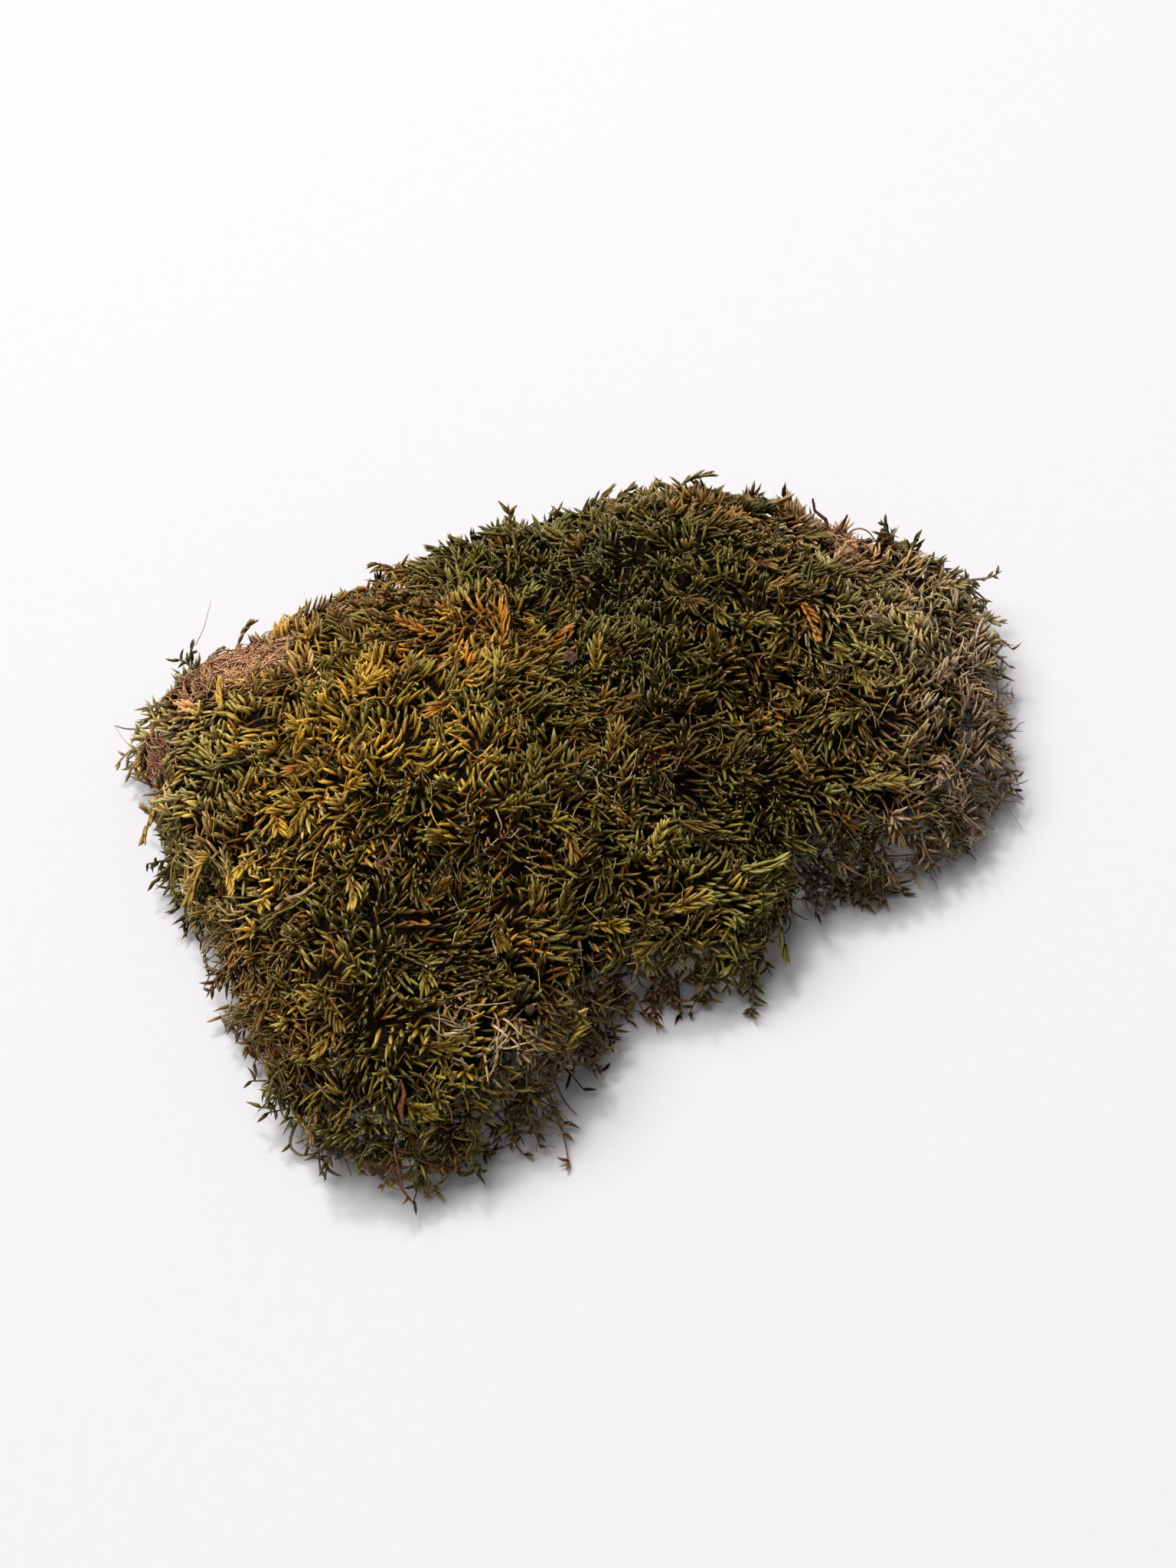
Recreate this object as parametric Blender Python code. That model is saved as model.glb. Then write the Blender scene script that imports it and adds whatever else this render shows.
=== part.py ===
"""Moss clump: one interwoven cushion of moss, lifted off the ground, with the bits of litter caught in it.

Run with: blender --background --python part.py
Metres, +Z up. +X runs to the right end of the clump and +Y to its back edge, as seen from its front.
The origin is at the bottom centre of the clump's box, on the flat face where it was cut off the ground.
"""

import math
import random

import bmesh
import bpy
from mathutils import Matrix, Vector, noise
from mathutils.bvhtree import BVHTree

MM = 0.001

# Driving dimensions, in millimetres. Plan places are counted from the middle of the cushion's growth.
# The rim seen from above: direction in degrees, counter-clockwise from +X, and reach, closer together where it turns.
OUTLINE = [
    (0, 92), (15, 101), (33, 112), (45, 101), (60, 94), (75, 86), (90, 79), (105, 73), (120, 72), (135, 74),
    (150, 77), (163, 88), (172, 90), (185, 83), (200, 80), (215, 78), (230, 86), (242, 93), (253, 90), (265, 74),
    (280, 54), (292, 48), (310, 56), (325, 57), (337, 54), (344, 59), (351, 79), (356, 88),
]
EDGE_HEIGHT = 9.0        # where the rim bulges furthest out
FOOT_SHARE = 0.93        # reach of the cut face, as a share of the rim's
BODY_HEIGHT = 27.0
RIM_ROUNDNESS = 0.85     # below 1 makes the flanks fuller than a half ellipse
CROWN_ROUNDNESS = 0.8
ROW_SPREAD = 1.25        # above 1 draws the rows of the grid together on the crown
# Mounds and hollows of the top: place, rise in height and reach.
MOUNDS = [
    ("main crown", (-24, -6), 15, 36),
    ("back crest", (34, 50), 12, 22),
    ("left shoulder", (-66, 12), 3, 20),
    ("right lobe", (72, 24), 6, 22),
    ("front tongue", (-38, -62), 1, 16),
    ("hollow before the crest", (4, 36), -8, 12),
    ("hollow on the left of the crest", (-34, 44), -3, 10),
    ("valley to the right lobe", (50, 4), -4, 13),
    ("dip in the front flank", (-20, -44), -4, 10),
]
GRID_CUTS = 21
GRID_ROWS_UNDER = 2      # rows of the grid between the rim's widest line and the cut face
GRID_JITTER = 0.22       # how far a point of the grid strays, as a share of its distance to the next
GRID_DENT = 0.8

BIG_LUMP_SIZE = 27.0
BIG_LUMP_RISE = 5.0
SMALL_LUMP_SIZE = 11.0
SMALL_LUMP_RISE = 2.2
LUMP_FADE_HEIGHT = 14.0  # lumps grow to full size over this height, so that the cut face stays flat
TUFT_RISE = 3.4
TUFT_LEAN = 2.6
TUFT_CELL = 6.0          # shortest side of the grid's cell that carries a tuft of full size
TUFT_SPREAD = 0.45       # how much one tuft differs from the next
TUFT_TURN = 1.0          # how far its lean strays from its neighbours', in radians
TUFT_CLEARANCE = 0.6     # least height of a tuft's tip over the ground
TUFT_DRAW_BACK = 0.3
SWIRL_SIZE = 55.0        # distance over which the lean of the tufts turns
GROWTH_SEED = 4

STEM = 0.55
WIRE = 0.36
STRAND_TIP_SHARE = 0.35
SHOOT_ANGLE_DEG = 48
SHOOT_CLEARANCE = 0.3
SHOOTS_FROM = 0.4        # share of a stray stem that is bare before its first shoot
LEAST_SEGMENT = 0.7
ROOT_DEPTH = 5.0         # how far a stray stem runs on into the cushion

# Stray sprays that stand out of the rim: name, stem radius, route, length of the side shoots, their count.
SPRAYS = [
    ("left tip low", STEM, [(-88, 15, 9), (-94.5, 15.5, 8), (-99, 13.5, 4)], 3.5, 2),
    ("left tip middle", WIRE, [(-88, 20, 11), (-95, 20, 10), (-99.5, 22.5, 8)], 0, 0),
    ("left tip under", STEM, [(-84, 5, 6), (-90, 7.5, 6), (-95, 10, 6)], 0, 0),
    ("back left stem", STEM, [(-76, 26, 12), (-79, 30, 17), (-81, 31, 22), (-79.5, 33, 26), (-77, 35, 28),
                              (-76, 37, 32)], 3.5, 3),
    ("back left branch", STEM, [(-79, 29, 18), (-83, 31, 22), (-88, 32, 20)], 0, 0),
    ("back upright", STEM, [(-8, 57, 26), (-9, 61, 32), (-10, 64, 37)], 4, 4),
    ("crest stem", WIRE, [(66, 62, 18), (69, 67, 23), (73, 67, 24), (77, 65, 19)], 0, 0),
    ("crest tuft", STEM, [(80, 62, 15), (79, 67, 21), (76, 69, 26)], 4, 4),
    ("crest right tuft", STEM, [(84, 60, 13), (84, 65, 19), (85.5, 66, 24)], 4, 3),
    ("right top", STEM, [(88, 58, 11), (95, 60.5, 13), (102, 61, 14), (105.5, 62.5, 15)], 3, 3),
    ("right upper prong", WIRE, [(88, 54, 11), (95, 57, 12), (100, 59.5, 12)], 0, 0),
    ("right pale sprig", STEM, [(92, 49, 11), (99, 50, 12), (106.5, 50.5, 10)], 4, 4),
    ("right dark sprig", WIRE, [(94, 41, 9), (101, 43.5, 10), (105.5, 45.5, 10)], 3, 1),
    ("right hanging leaf", STEM, [(94, 18, 6), (98.5, 14, 4.5), (99.8, 7, 2)], 0, 0),
    ("right fork", WIRE, [(91, 18, 7), (98, 13, 5), (103.5, 9.3, 3), (106.8, 6.4, 1)], 4, 2),
    ("right low spray", WIRE, [(86, 15, 7), (94, 9.5, 5.5), (98, 6, 3.5), (102, 3, 1.5)], 4.5, 3),
    ("lobe end spray", STEM, [(82, 3, 6), (90, -2.5, 4), (97, -4, 2)], 4, 3),
    ("lobe spray", STEM, [(78, 0, 6), (81.5, -9, 3.5), (79, -15, 1.5)], 4, 4),
    ("lobe hanging strand", WIRE, [(72, 0, 7), (73.5, -10, 5), (72.8, -16, 2), (73.6, -20, 1),
                                   (71, -22.6, 0.9)], 4.5, 3),
    ("notch spray", WIRE, [(60, -2, 8), (63.5, -10, 6), (62.4, -15.5, 2), (59.5, -21, 1)], 4, 3),
    ("notch sprig", STEM, [(63, -3, 7), (65.5, -12, 4), (69, -16.6, 1.5)], 3.5, 2),
    ("front wire", WIRE, [(46, -18, 7), (52, -24.5, 4.5), (56.5, -25.5, 1.2)], 0, 0),
    ("front wire bend", WIRE, [(46, -22, 6), (52, -26, 3.5), (51, -29.4, 2.5), (48, -30.5, 2.5)], 0, 0),
    ("front leafy sprig", STEM, [(42, -29, 7), (43.3, -38, 4.5), (43.5, -46, 1.5), (42, -50, 1)], 3.5, 6),
    ("front left sprig", STEM, [(34, -32, 7), (34.5, -42, 4), (32.3, -47.6, 1.2)], 3.2, 6),
    ("wiry strand", WIRE, [(3, -44, 7), (11, -47.2, 5), (17.8, -48.4, 2.5), (22, -49.6, 1.5),
                           (23, -53.5, 1)], 4, 3),
    ("wiry hook", WIRE, [(17, -36, 7), (19.5, -43.4, 4.6), (24, -45, 3), (23, -47.8, 1.5)], 3, 1),
    ("orange sprig", STEM, [(5, -46, 7), (7.3, -53, 4), (7.9, -58.5, 1)], 3.2, 4),
    ("thin strand", WIRE, [(7, -47, 5), (9.2, -56, 2.5), (10.6, -62, 1)], 0, 0),
    ("long strand", WIRE, [(-3, -58, 7), (0, -68, 3.5), (2.2, -73.6, 2), (4.2, -82.6, 1),
                           (2.2, -84.3, 1)], 3.5, 2),
    ("black strand", WIRE, [(-2, -58, 7), (1.5, -66.2, 4), (3.6, -70, 2), (6.2, -72.6, 1)], 0, 0),
    ("green leafy strand", WIRE, [(-9, -62, 7), (-7.4, -73, 3), (-6.5, -79.6, 1.5), (-2.5, -83.2, 1.2)], 3.5, 2),
    ("comb", STEM, [(-22, -74, 6), (-15, -80.3, 3.5), (-11.2, -83, 1.2)], 3, 3),
    ("bottom strand", WIRE, [(-24, -75, 6), (-25, -85, 3), (-25.2, -88.2, 2), (-24.2, -92, 1)], 3.5, 3),
    ("bottom hook", WIRE, [(-21, -76, 6), (-19.8, -86, 3), (-22.3, -88.8, 2), (-22, -91, 1)], 3, 2),
    ("bottom left curl", WIRE, [(-31, -77, 6), (-29.6, -85, 3), (-30.2, -88, 1)], 0, 0),
    ("left foot curl", STEM, [(-46, -70, 8), (-51, -75.5, 5), (-52.6, -80, 3), (-50.5, -82, 2), (-47.6, -81.5, 1.5)],
     2.5, 1),
    ("front left arc", STEM, [(-44, -72, 6), (-46, -79, 4), (-42, -81, 3), (-37, -81, 3)], 3, 3),
    ("left thin strand", WIRE, [(-62, -36, 12), (-70, -40.3, 8.5), (-73.8, -44, 3)], 0, 0),
    ("left dried spray", STEM, [(-58, -46, 7), (-66, -49.8, 5), (-69, -51, 3), (-64.5, -55, 1.2)], 3.5, 2),
    ("left low spray", WIRE, [(-54, -54, 7), (-60, -59.2, 4), (-62, -61.8, 1.5)], 3, 1),
]

# Litter caught in the moss.
POCKET_GAP = 0.3
TWIG_ENDS = [(-56.5, -37), (-53.5, -35.2), (-51, -34.8), (-48, -33)]
TWIG_RADII = [0.75, 0.65, 0.6, 0.3]
TWIG_STUB_LENGTH = 1.8
ROOTLET_ROUTE = [(-38.5, -32), (-35.5, -31.8), (-33, -31), (-30, -28)]
ROOTLET_FORK_TIPS = [(1, (-31.5, -33.6, 0.5)), (2, (-29.2, -31.6, 0.4))]   # point of the route, end of its fork
ROOTLET_RADII = [0.35, 0.5, 0.55, 0.3]
CREST_ROOT_ROUTE = [(65.5, 63, 19), (64.2, 66.2, 24), (63.4, 67.6, 27), (60.7, 68.6, 29), (60, 69.8, 32)]
CREST_ROOT_RADII = [0.6, 0.65, 0.5, 0.42, 0.3]
CREST_ROOT_FORKS = [(64.6, 65.5, 23), (67.2, 67.1, 25.5), (68.2, 67.4, 29)]
FLAKE_PLACE = (4.4, 19.5)
FLAKE_SIZE = (4.4, 3.0, 0.8)
FLAKE_TILT_DEG = 38
NEEDLE_ROUTE = [(-28.8, -76.4), (-28.1, -78.4), (-28.9, -80.6), (-28.4, -83)]
NEEDLE_RADII = [0.25, 0.55, 0.75, 0.2]
SCRAP_OUTLINE = [(-37.6, -82.2), (-34.2, -83.2), (-31.6, -82.4), (-32.2, -85.8), (-33.4, -87.2), (-34.6, -86.2),
                 (-35.6, -86.8)]
SCRAP_HEIGHTS = [5.6, 5.8, 5.2, 2.2, 1.4, 2.0, 2.2]
SCRAP_THICKNESS = 0.6
CRUMB_PLACE = (-3.4, -61.5)
CRUMB_RADIUS = 1.2
SUNK_SHARE = 0.3         # how deep a piece of litter lies in the moss, as a share of its thickness

COLOURS = {
    "moss_cushion": ((0.13, 0.115, 0.025), 0.9),
    "pale_twig": ((0.42, 0.25, 0.15), 0.8),
    "forked_rootlet": ((0.36, 0.17, 0.08), 0.8),
    "crest_root": ((0.22, 0.10, 0.08), 0.75),
    "bark_flake": ((0.12, 0.045, 0.028), 0.85),
    "brown_needle": ((0.26, 0.12, 0.045), 0.7),
    "leaf_scrap": ((0.16, 0.09, 0.05), 0.8),
    "soil_crumb": ((0.05, 0.05, 0.045), 0.95),
}


def outline_radius(angle):
    """Reach of the rim in a direction, on a smooth closed curve through the outline's points."""
    degrees = math.degrees(angle) % 360
    count = len(OUTLINE)
    first = max(k for k in range(count) if OUTLINE[k][0] <= degrees)
    near = []
    for k in range(first - 1, first + 3):
        direction, reach = OUTLINE[k % count]
        near.append((direction + 360 * (k // count), reach))
    (_, before), (start_at, start), (end_at, end), (_, after) = near
    span = end_at - start_at
    start_slope = (end - before) / (end_at - near[0][0]) * span
    end_slope = (after - start) / (near[3][0] - start_at) * span
    t = (degrees - start_at) / span
    return (start * (1 + 2 * t) * (1 - t) ** 2 + end * t * t * (3 - 2 * t)
            + start_slope * t * (1 - t) ** 2 - end_slope * t * t * (1 - t))


def crown_height(x, y):
    """Height of the smooth top over a place in plan, before its flanks fall away."""
    height = BODY_HEIGHT
    for _, (mound_x, mound_y), rise, reach in MOUNDS:
        distance = math.hypot(x - mound_x, y - mound_y)
        height += rise * math.exp(-0.5 * (distance / reach) ** 2)
    return height


def warped(place):
    """A place on the cube, drawn so that its rows come out at equal angles on the sphere."""
    return Vector([math.tan(share * math.pi / 4) for share in place])


def foot_depth():
    """Depth of the grid's lowest row on the cube, as a share of its half side."""
    return 2 * GRID_ROWS_UNDER / (GRID_CUTS + 1)


def cushion_point(place):
    """Place on the smooth cushion, in millimetres, that belongs to a place on the cube."""
    direction = warped(place)
    angle = math.atan2(direction.y, direction.x)
    rim = outline_radius(angle)
    if direction.z < 0:
        drop = place.z / -foot_depth()
        reach = rim * (1 - (1 - FOOT_SHARE) * drop ** 2)
        return Vector((reach * math.cos(angle), reach * math.sin(angle), EDGE_HEIGHT * (1 - drop)))
    from_top = math.atan2(math.hypot(direction.x, direction.y), direction.z) / (math.pi / 2)
    slope = math.pi / 2 * from_top ** ROW_SPREAD
    reach = rim * math.sin(slope) ** RIM_ROUNDNESS
    x = reach * math.cos(angle)
    y = reach * math.sin(angle)
    rise = max(0.0, math.cos(slope)) ** CROWN_ROUNDNESS
    return Vector((x, y, EDGE_HEIGHT + (crown_height(x, y) - EDGE_HEIGHT) * rise))


def lump_rise(place):
    """How far the cushion's lumps stand out at a place: round pillows with creases between them."""
    rise = 0.0
    for size, full in ((BIG_LUMP_SIZE, BIG_LUMP_RISE), (SMALL_LUMP_SIZE, SMALL_LUMP_RISE)):
        nearest = noise.voronoi(place / size)[0][0]
        rise += full * (0.6 - 1.6 * min(nearest, 0.9) ** 2)
    return rise * min(1.0, place.z / LUMP_FADE_HEIGHT)


def tuft_lean(place, turn):
    """Direction in plan that the shoots lean to: outwards, turned by a slow swirl and by its own amount."""
    outward = Vector((place.x, place.y, 0))
    if outward.length < 1:
        outward = Vector((1, 0, 0))
    return Matrix.Rotation(2.2 * noise.noise(place / SWIRL_SIZE) + turn, 3, "Z") @ outward.normalized()


def add_object(name, bm):
    """Turn a bmesh in millimetres into an object in metres."""
    bmesh.ops.recalc_face_normals(bm, faces=bm.faces)
    bmesh.ops.scale(bm, vec=(MM, MM, MM), verts=bm.verts)
    mesh = bpy.data.meshes.new(name)
    bm.to_mesh(mesh)
    bm.free()
    obj = bpy.data.objects.new(name, mesh)
    bpy.context.scene.collection.objects.link(obj)
    return obj


def part_tufts(bm, feet):
    """Draw back the tips of tufts that run through each other, until none do."""
    bm.faces.ensure_lookup_table()
    crossing = set(feet)
    while crossing:
        tree = BVHTree.FromBMesh(bm)
        crossing = set()
        for first, second in tree.overlap(tree):
            one = set(bm.faces[first].verts)
            other = set(bm.faces[second].verts)
            if not one & other:
                crossing |= (one | other) & feet.keys()
        for tip in crossing:
            tip.co = tip.co.lerp(feet[tip], TUFT_DRAW_BACK)


def make_cushion():
    """The interwoven body: a rounded block shaped to the clump's form, with lumps and pointed tufts."""
    dice = random.Random(GROWTH_SEED)
    bm = bmesh.new()
    bmesh.ops.create_cube(bm, size=2.0)
    bmesh.ops.subdivide_edges(bm, edges=bm.edges, cuts=GRID_CUTS, use_grid_fill=True)
    below = [face for face in bm.faces if face.calc_center_median().z < -foot_depth()]
    bmesh.ops.delete(bm, geom=below, context="FACES")
    free = [vert for vert in bm.verts if not vert.is_boundary]
    for vert in bm.verts:
        vert.co = cushion_point(vert.co)
    bm.normal_update()
    moved = []
    for vert in free:
        spacing = min(edge.calc_length() for edge in vert.link_edges)
        stray = Vector([dice.uniform(-1, 1) for _ in range(3)]) * spacing * GRID_JITTER
        stray -= vert.normal * stray.dot(vert.normal)
        dent = dice.uniform(-1, 0.6) * GRID_DENT
        moved.append(vert.co + stray + vert.normal * (lump_rise(vert.co) + dent))
    for vert, place in zip(free, moved):
        vert.co = place
        vert.co.z = max(vert.co.z, TUFT_CLEARANCE)
    bm.normal_update()
    feet = {}
    for vert in bmesh.ops.poke(bm, faces=bm.faces[:])["verts"]:
        feet[vert] = vert.co.copy()
        size = 1 + TUFT_SPREAD * dice.uniform(-1, 1)
        size *= min(edge.calc_length() for face in vert.link_faces for edge in face.edges
                    if vert not in edge.verts) / TUFT_CELL
        share = min(1.0, vert.co.z / EDGE_HEIGHT)
        turn = TUFT_TURN * dice.uniform(-1, 1)
        normal = sum((face.normal for face in vert.link_faces), Vector()).normalized()
        vert.co += (normal * TUFT_RISE + tuft_lean(vert.co, turn) * TUFT_LEAN) * size * share
        vert.co.z = max(vert.co.z, TUFT_CLEARANCE)
    part_tufts(bm, feet)
    rim = [edge for edge in bm.edges if edge.is_boundary]
    bmesh.ops.contextual_create(bm, geom=rim)
    return add_object("moss_cushion", bm)


def shape_tube(points, radii, sides_level):
    """A tapering stem along the line through its points, with closed ends, as a bmesh in millimetres."""
    curve = bpy.data.curves.new("stem", "CURVE")
    curve.dimensions = "3D"
    curve.bevel_depth = MM
    curve.bevel_resolution = sides_level
    curve.use_fill_caps = True
    spline = curve.splines.new("POLY")
    spline.points.add(len(points) - 1)
    for point, place, radius in zip(spline.points, points, radii):
        point.co = (*(Vector(place) * MM), 1)
        point.radius = radius
    guide = bpy.data.objects.new("stem", curve)
    bpy.context.scene.collection.objects.link(guide)
    mesh = bpy.data.meshes.new_from_object(guide.evaluated_get(bpy.context.evaluated_depsgraph_get()))
    bpy.data.objects.remove(guide)
    bm = bmesh.new()
    bm.from_mesh(mesh)
    bmesh.ops.remove_doubles(bm, verts=bm.verts, dist=0.00001)
    bmesh.ops.scale(bm, vec=(1 / MM, 1 / MM, 1 / MM), verts=bm.verts)
    return bm


def make_tube(name, points, radii, sides_level):
    """The same stem as an object."""
    return add_object(name, shape_tube(points, radii, sides_level))


def place_along(route, reaches, reach):
    """Place on a route at a distance from its start."""
    for k in range(1, len(route)):
        if reach <= reaches[k] or k == len(route) - 1:
            share = (reach - reaches[k - 1]) / (reaches[k] - reaches[k - 1])
            return route[k - 1].lerp(route[k], share)


def make_spray(name, radius, places, shoot_length, shoot_count):
    """A stray stem with pointed shoots drawn out of its sides in turn."""
    route = [Vector(place) for place in places]
    route[0] *= 1 - ROOT_DEPTH / route[0].length
    reaches = [0.0]
    for start, end in zip(route, route[1:]):
        reaches.append(reaches[-1] + (end - start).length)
    total = reaches[-1]
    shoot_span = total * (1 - SHOOTS_FROM) / max(1, shoot_count)
    shoots = [total * SHOOTS_FROM + shoot_span * k for k in range(shoot_count)]
    stops = []
    for reach in sorted(reaches + shoots):
        if not stops or reach - stops[-1] > LEAST_SEGMENT:
            stops.append(reach)
    stops[-1] = total
    points = [place_along(route, reaches, reach) for reach in stops]
    radii = [radius * (1 - (1 - STRAND_TIP_SHARE) * reach / total) for reach in stops]
    bm = shape_tube(points, radii, 0)
    for k, reach in enumerate(shoots):
        base = place_along(route, reaches, reach + shoot_span * 0.4)
        along = (place_along(route, reaches, min(total, reach + 1)) - place_along(route, reaches, reach - 1)).normalized()
        side = along.cross(Vector((0, 0, 1))).normalized() * (1 if k % 2 else -1)
        lean = math.radians(SHOOT_ANGLE_DEG)
        heading = along * math.cos(lean) + side * math.sin(lean) + Vector((0, 0, 0.1))
        length = shoot_length * (1 - 0.3 * k / shoot_count)
        flank = min(bm.faces, key=lambda face: (face.calc_center_median() - base - side * radius).length)
        tip = bmesh.ops.poke(bm, faces=[flank])["verts"][0]
        tip.co = base + heading * length
        tip.co.z = max(tip.co.z, SHOOT_CLEARANCE)
    return add_object(name, bm)


def apply_boolean(obj, operation, operands):
    """Join or cut with several bodies at once, and remove them."""
    group = bpy.data.collections.new("operands")
    for operand in operands:
        group.objects.link(operand)
    modifier = obj.modifiers.new(operation, "BOOLEAN")
    modifier.operation = operation
    modifier.operand_type = "COLLECTION"
    modifier.collection = group
    modifier.solver = "EXACT"
    mesh = bpy.data.meshes.new_from_object(obj.evaluated_get(bpy.context.evaluated_depsgraph_get()))
    obj.modifiers.clear()
    obj.data = mesh
    for operand in operands:
        bpy.data.objects.remove(operand)
    bpy.data.collections.remove(group)


def surface_finder(obj):
    """A function that gives the height of an object's top over a place in plan, in millimetres."""
    bm = bmesh.new()
    bm.from_mesh(obj.data)
    tree = BVHTree.FromBMesh(bm)
    bm.free()

    def height(x, y):
        hit = tree.ray_cast(Vector((x * MM, y * MM, 1)), Vector((0, 0, -1)))[0]
        return hit.z / MM

    return height


def laid_route(places, radii, height):
    """Points of a thin piece that lies on the moss, a little sunk into it."""
    return [(x, y, height(x, y) + radius * (1 - 2 * SUNK_SHARE)) for (x, y), radius in zip(places, radii)]


def make_pale_twig(height, gap):
    """A peeled bit of twig, with the stub of a side twig near its thick end."""
    points = laid_route(TWIG_ENDS, TWIG_RADII, height)
    body = make_tube("pale_twig", points, [radius + gap for radius in TWIG_RADII], 1)
    base = Vector(points[1])
    tip = base + Vector((-0.6, 0.6, 0.5)).normalized() * TWIG_STUB_LENGTH
    stub = make_tube("stub", [base, tip], [0.4 + gap, 0.3 + gap], 1)
    apply_boolean(body, "UNION", [stub])
    return body


def make_forked_rootlet(height, gap):
    """A dead rootlet that forks twice on one side."""
    points = laid_route(ROOTLET_ROUTE, ROOTLET_RADII, height)
    body = make_tube("forked_rootlet", points, [radius + gap for radius in ROOTLET_RADII], 1)
    forks = []
    for first, (x, y, rise) in ROOTLET_FORK_TIPS:
        tip = (x, y, points[first][2] + rise)
        forks.append(make_tube("fork", [points[first], tip], [0.42 + gap, 0.25 + gap], 1))
    apply_boolean(body, "UNION", forks)
    return body


def make_crest_root(height, gap):
    """A dark red root that stands up out of the back crest, with a torn side root."""
    body = make_tube("crest_root", CREST_ROOT_ROUTE, [radius + gap for radius in CREST_ROOT_RADII], 1)
    fork = make_tube("fork", CREST_ROOT_FORKS, [0.55 + gap, 0.6 + gap, 0.25 + gap], 1)
    apply_boolean(body, "UNION", [fork])
    return body


def make_bark_flake(height, gap):
    """A flake of bark: a thin plate with a broken edge, set steeply into the moss."""
    length, width, thickness = [size + 2 * gap for size in FLAKE_SIZE]
    bm = bmesh.new()
    bmesh.ops.create_circle(bm, cap_ends=True, segments=7, radius=0.5)
    bmesh.ops.scale(bm, vec=(length, width, 1), verts=bm.verts)
    for k, vert in enumerate(bm.verts):
        vert.co *= 1 - 0.16 * (k % 2)
    plate = bmesh.ops.extrude_face_region(bm, geom=bm.faces[:])["geom"]
    raised = [part for part in plate if isinstance(part, bmesh.types.BMVert)]
    bmesh.ops.translate(bm, vec=(0, 0, thickness), verts=raised)
    bmesh.ops.translate(bm, vec=(0, 0, -thickness / 2), verts=bm.verts)
    bmesh.ops.rotate(bm, matrix=Matrix.Rotation(math.radians(FLAKE_TILT_DEG), 3, "X"), verts=bm.verts)
    x, y = FLAKE_PLACE
    bmesh.ops.translate(bm, vec=(x, y, height(x, y) + 0.5), verts=bm.verts)
    return add_object("bark_flake", bm)


def make_brown_needle(height, gap):
    """A dead needle, thickest below its middle."""
    points = laid_route(NEEDLE_ROUTE, NEEDLE_RADII, height)
    return make_tube("brown_needle", points, [radius + gap for radius in NEEDLE_RADII], 1)


def make_leaf_scrap(height, gap):
    """A torn scrap of dead leaf that hangs over the front rim."""
    bm = bmesh.new()
    middle = sum((Vector((x, y, z)) for (x, y), z in zip(SCRAP_OUTLINE, SCRAP_HEIGHTS)), Vector()) / len(SCRAP_OUTLINE)
    verts = []
    for (x, y), z in zip(SCRAP_OUTLINE, SCRAP_HEIGHTS):
        place = Vector((x, y, z))
        verts.append(bm.verts.new(place + (place - middle).normalized() * gap))
    face = bm.faces.new(verts)
    bmesh.ops.poke(bm, faces=[face])
    bm.normal_update()
    normal = sum((face.normal for face in bm.faces), Vector()).normalized()
    if normal.z < 0:
        normal.negate()
    sheet = bmesh.ops.extrude_face_region(bm, geom=bm.faces[:])["geom"]
    raised = [part for part in sheet if isinstance(part, bmesh.types.BMVert)]
    bmesh.ops.translate(bm, vec=normal * (SCRAP_THICKNESS + 2 * gap), verts=raised)
    bmesh.ops.translate(bm, vec=-normal * gap, verts=bm.verts)
    return add_object("leaf_scrap", bm)


def make_soil_crumb(height, gap):
    """A crumb of dark soil, an uneven ball."""
    bm = bmesh.new()
    bmesh.ops.create_icosphere(bm, subdivisions=1, radius=CRUMB_RADIUS)
    for vert in bm.verts:
        vert.co *= 1 + 0.18 * noise.noise(vert.co * 1.7)
        vert.co *= 1 + gap / CRUMB_RADIUS
    x, y = CRUMB_PLACE
    bmesh.ops.translate(bm, vec=(x, y, height(x, y) + 0.3), verts=bm.verts)
    return add_object("soil_crumb", bm)


LITTER = [make_pale_twig, make_forked_rootlet, make_crest_root, make_bark_flake, make_brown_needle,
          make_leaf_scrap, make_soil_crumb]


def paint(obj):
    """One material for a piece, with its own colour and roughness."""
    colour, roughness = COLOURS[obj.name]
    material = bpy.data.materials.new(obj.name)
    material.use_nodes = True
    shader = material.node_tree.nodes["Principled BSDF"]
    shader.inputs["Base Color"].default_value = (*colour, 1)
    shader.inputs["Roughness"].default_value = roughness
    shader.inputs["Metallic"].default_value = 0
    obj.data.materials.clear()
    obj.data.materials.append(material)


def centre_on_box(objects):
    """Move everything so that the origin is at the bottom centre of the whole box."""
    corners = [vert.co for obj in objects for vert in obj.data.vertices]
    shift = Vector((
        -(min(co.x for co in corners) + max(co.x for co in corners)) / 2,
        -(min(co.y for co in corners) + max(co.y for co in corners)) / 2,
        -min(co.z for co in corners),
    ))
    for obj in objects:
        obj.data.transform(Matrix.Translation(shift))


def main():
    for obj in list(bpy.data.objects):
        bpy.data.objects.remove(obj)
    cushion = make_cushion()
    height = surface_finder(cushion)
    apply_boolean(cushion, "UNION", [make_spray(*spray) for spray in SPRAYS])
    apply_boolean(cushion, "DIFFERENCE", [make(height, POCKET_GAP) for make in LITTER])
    pieces = [cushion] + [make(height, 0.0) for make in LITTER]
    for piece in pieces:
        paint(piece)
    centre_on_box(pieces)


main()
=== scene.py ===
import math
import random

import bmesh
import bpy
import numpy as np
from mathutils import Matrix, Vector, noise
from mathutils.bvhtree import BVHTree
from mathutils.kdtree import KDTree


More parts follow.
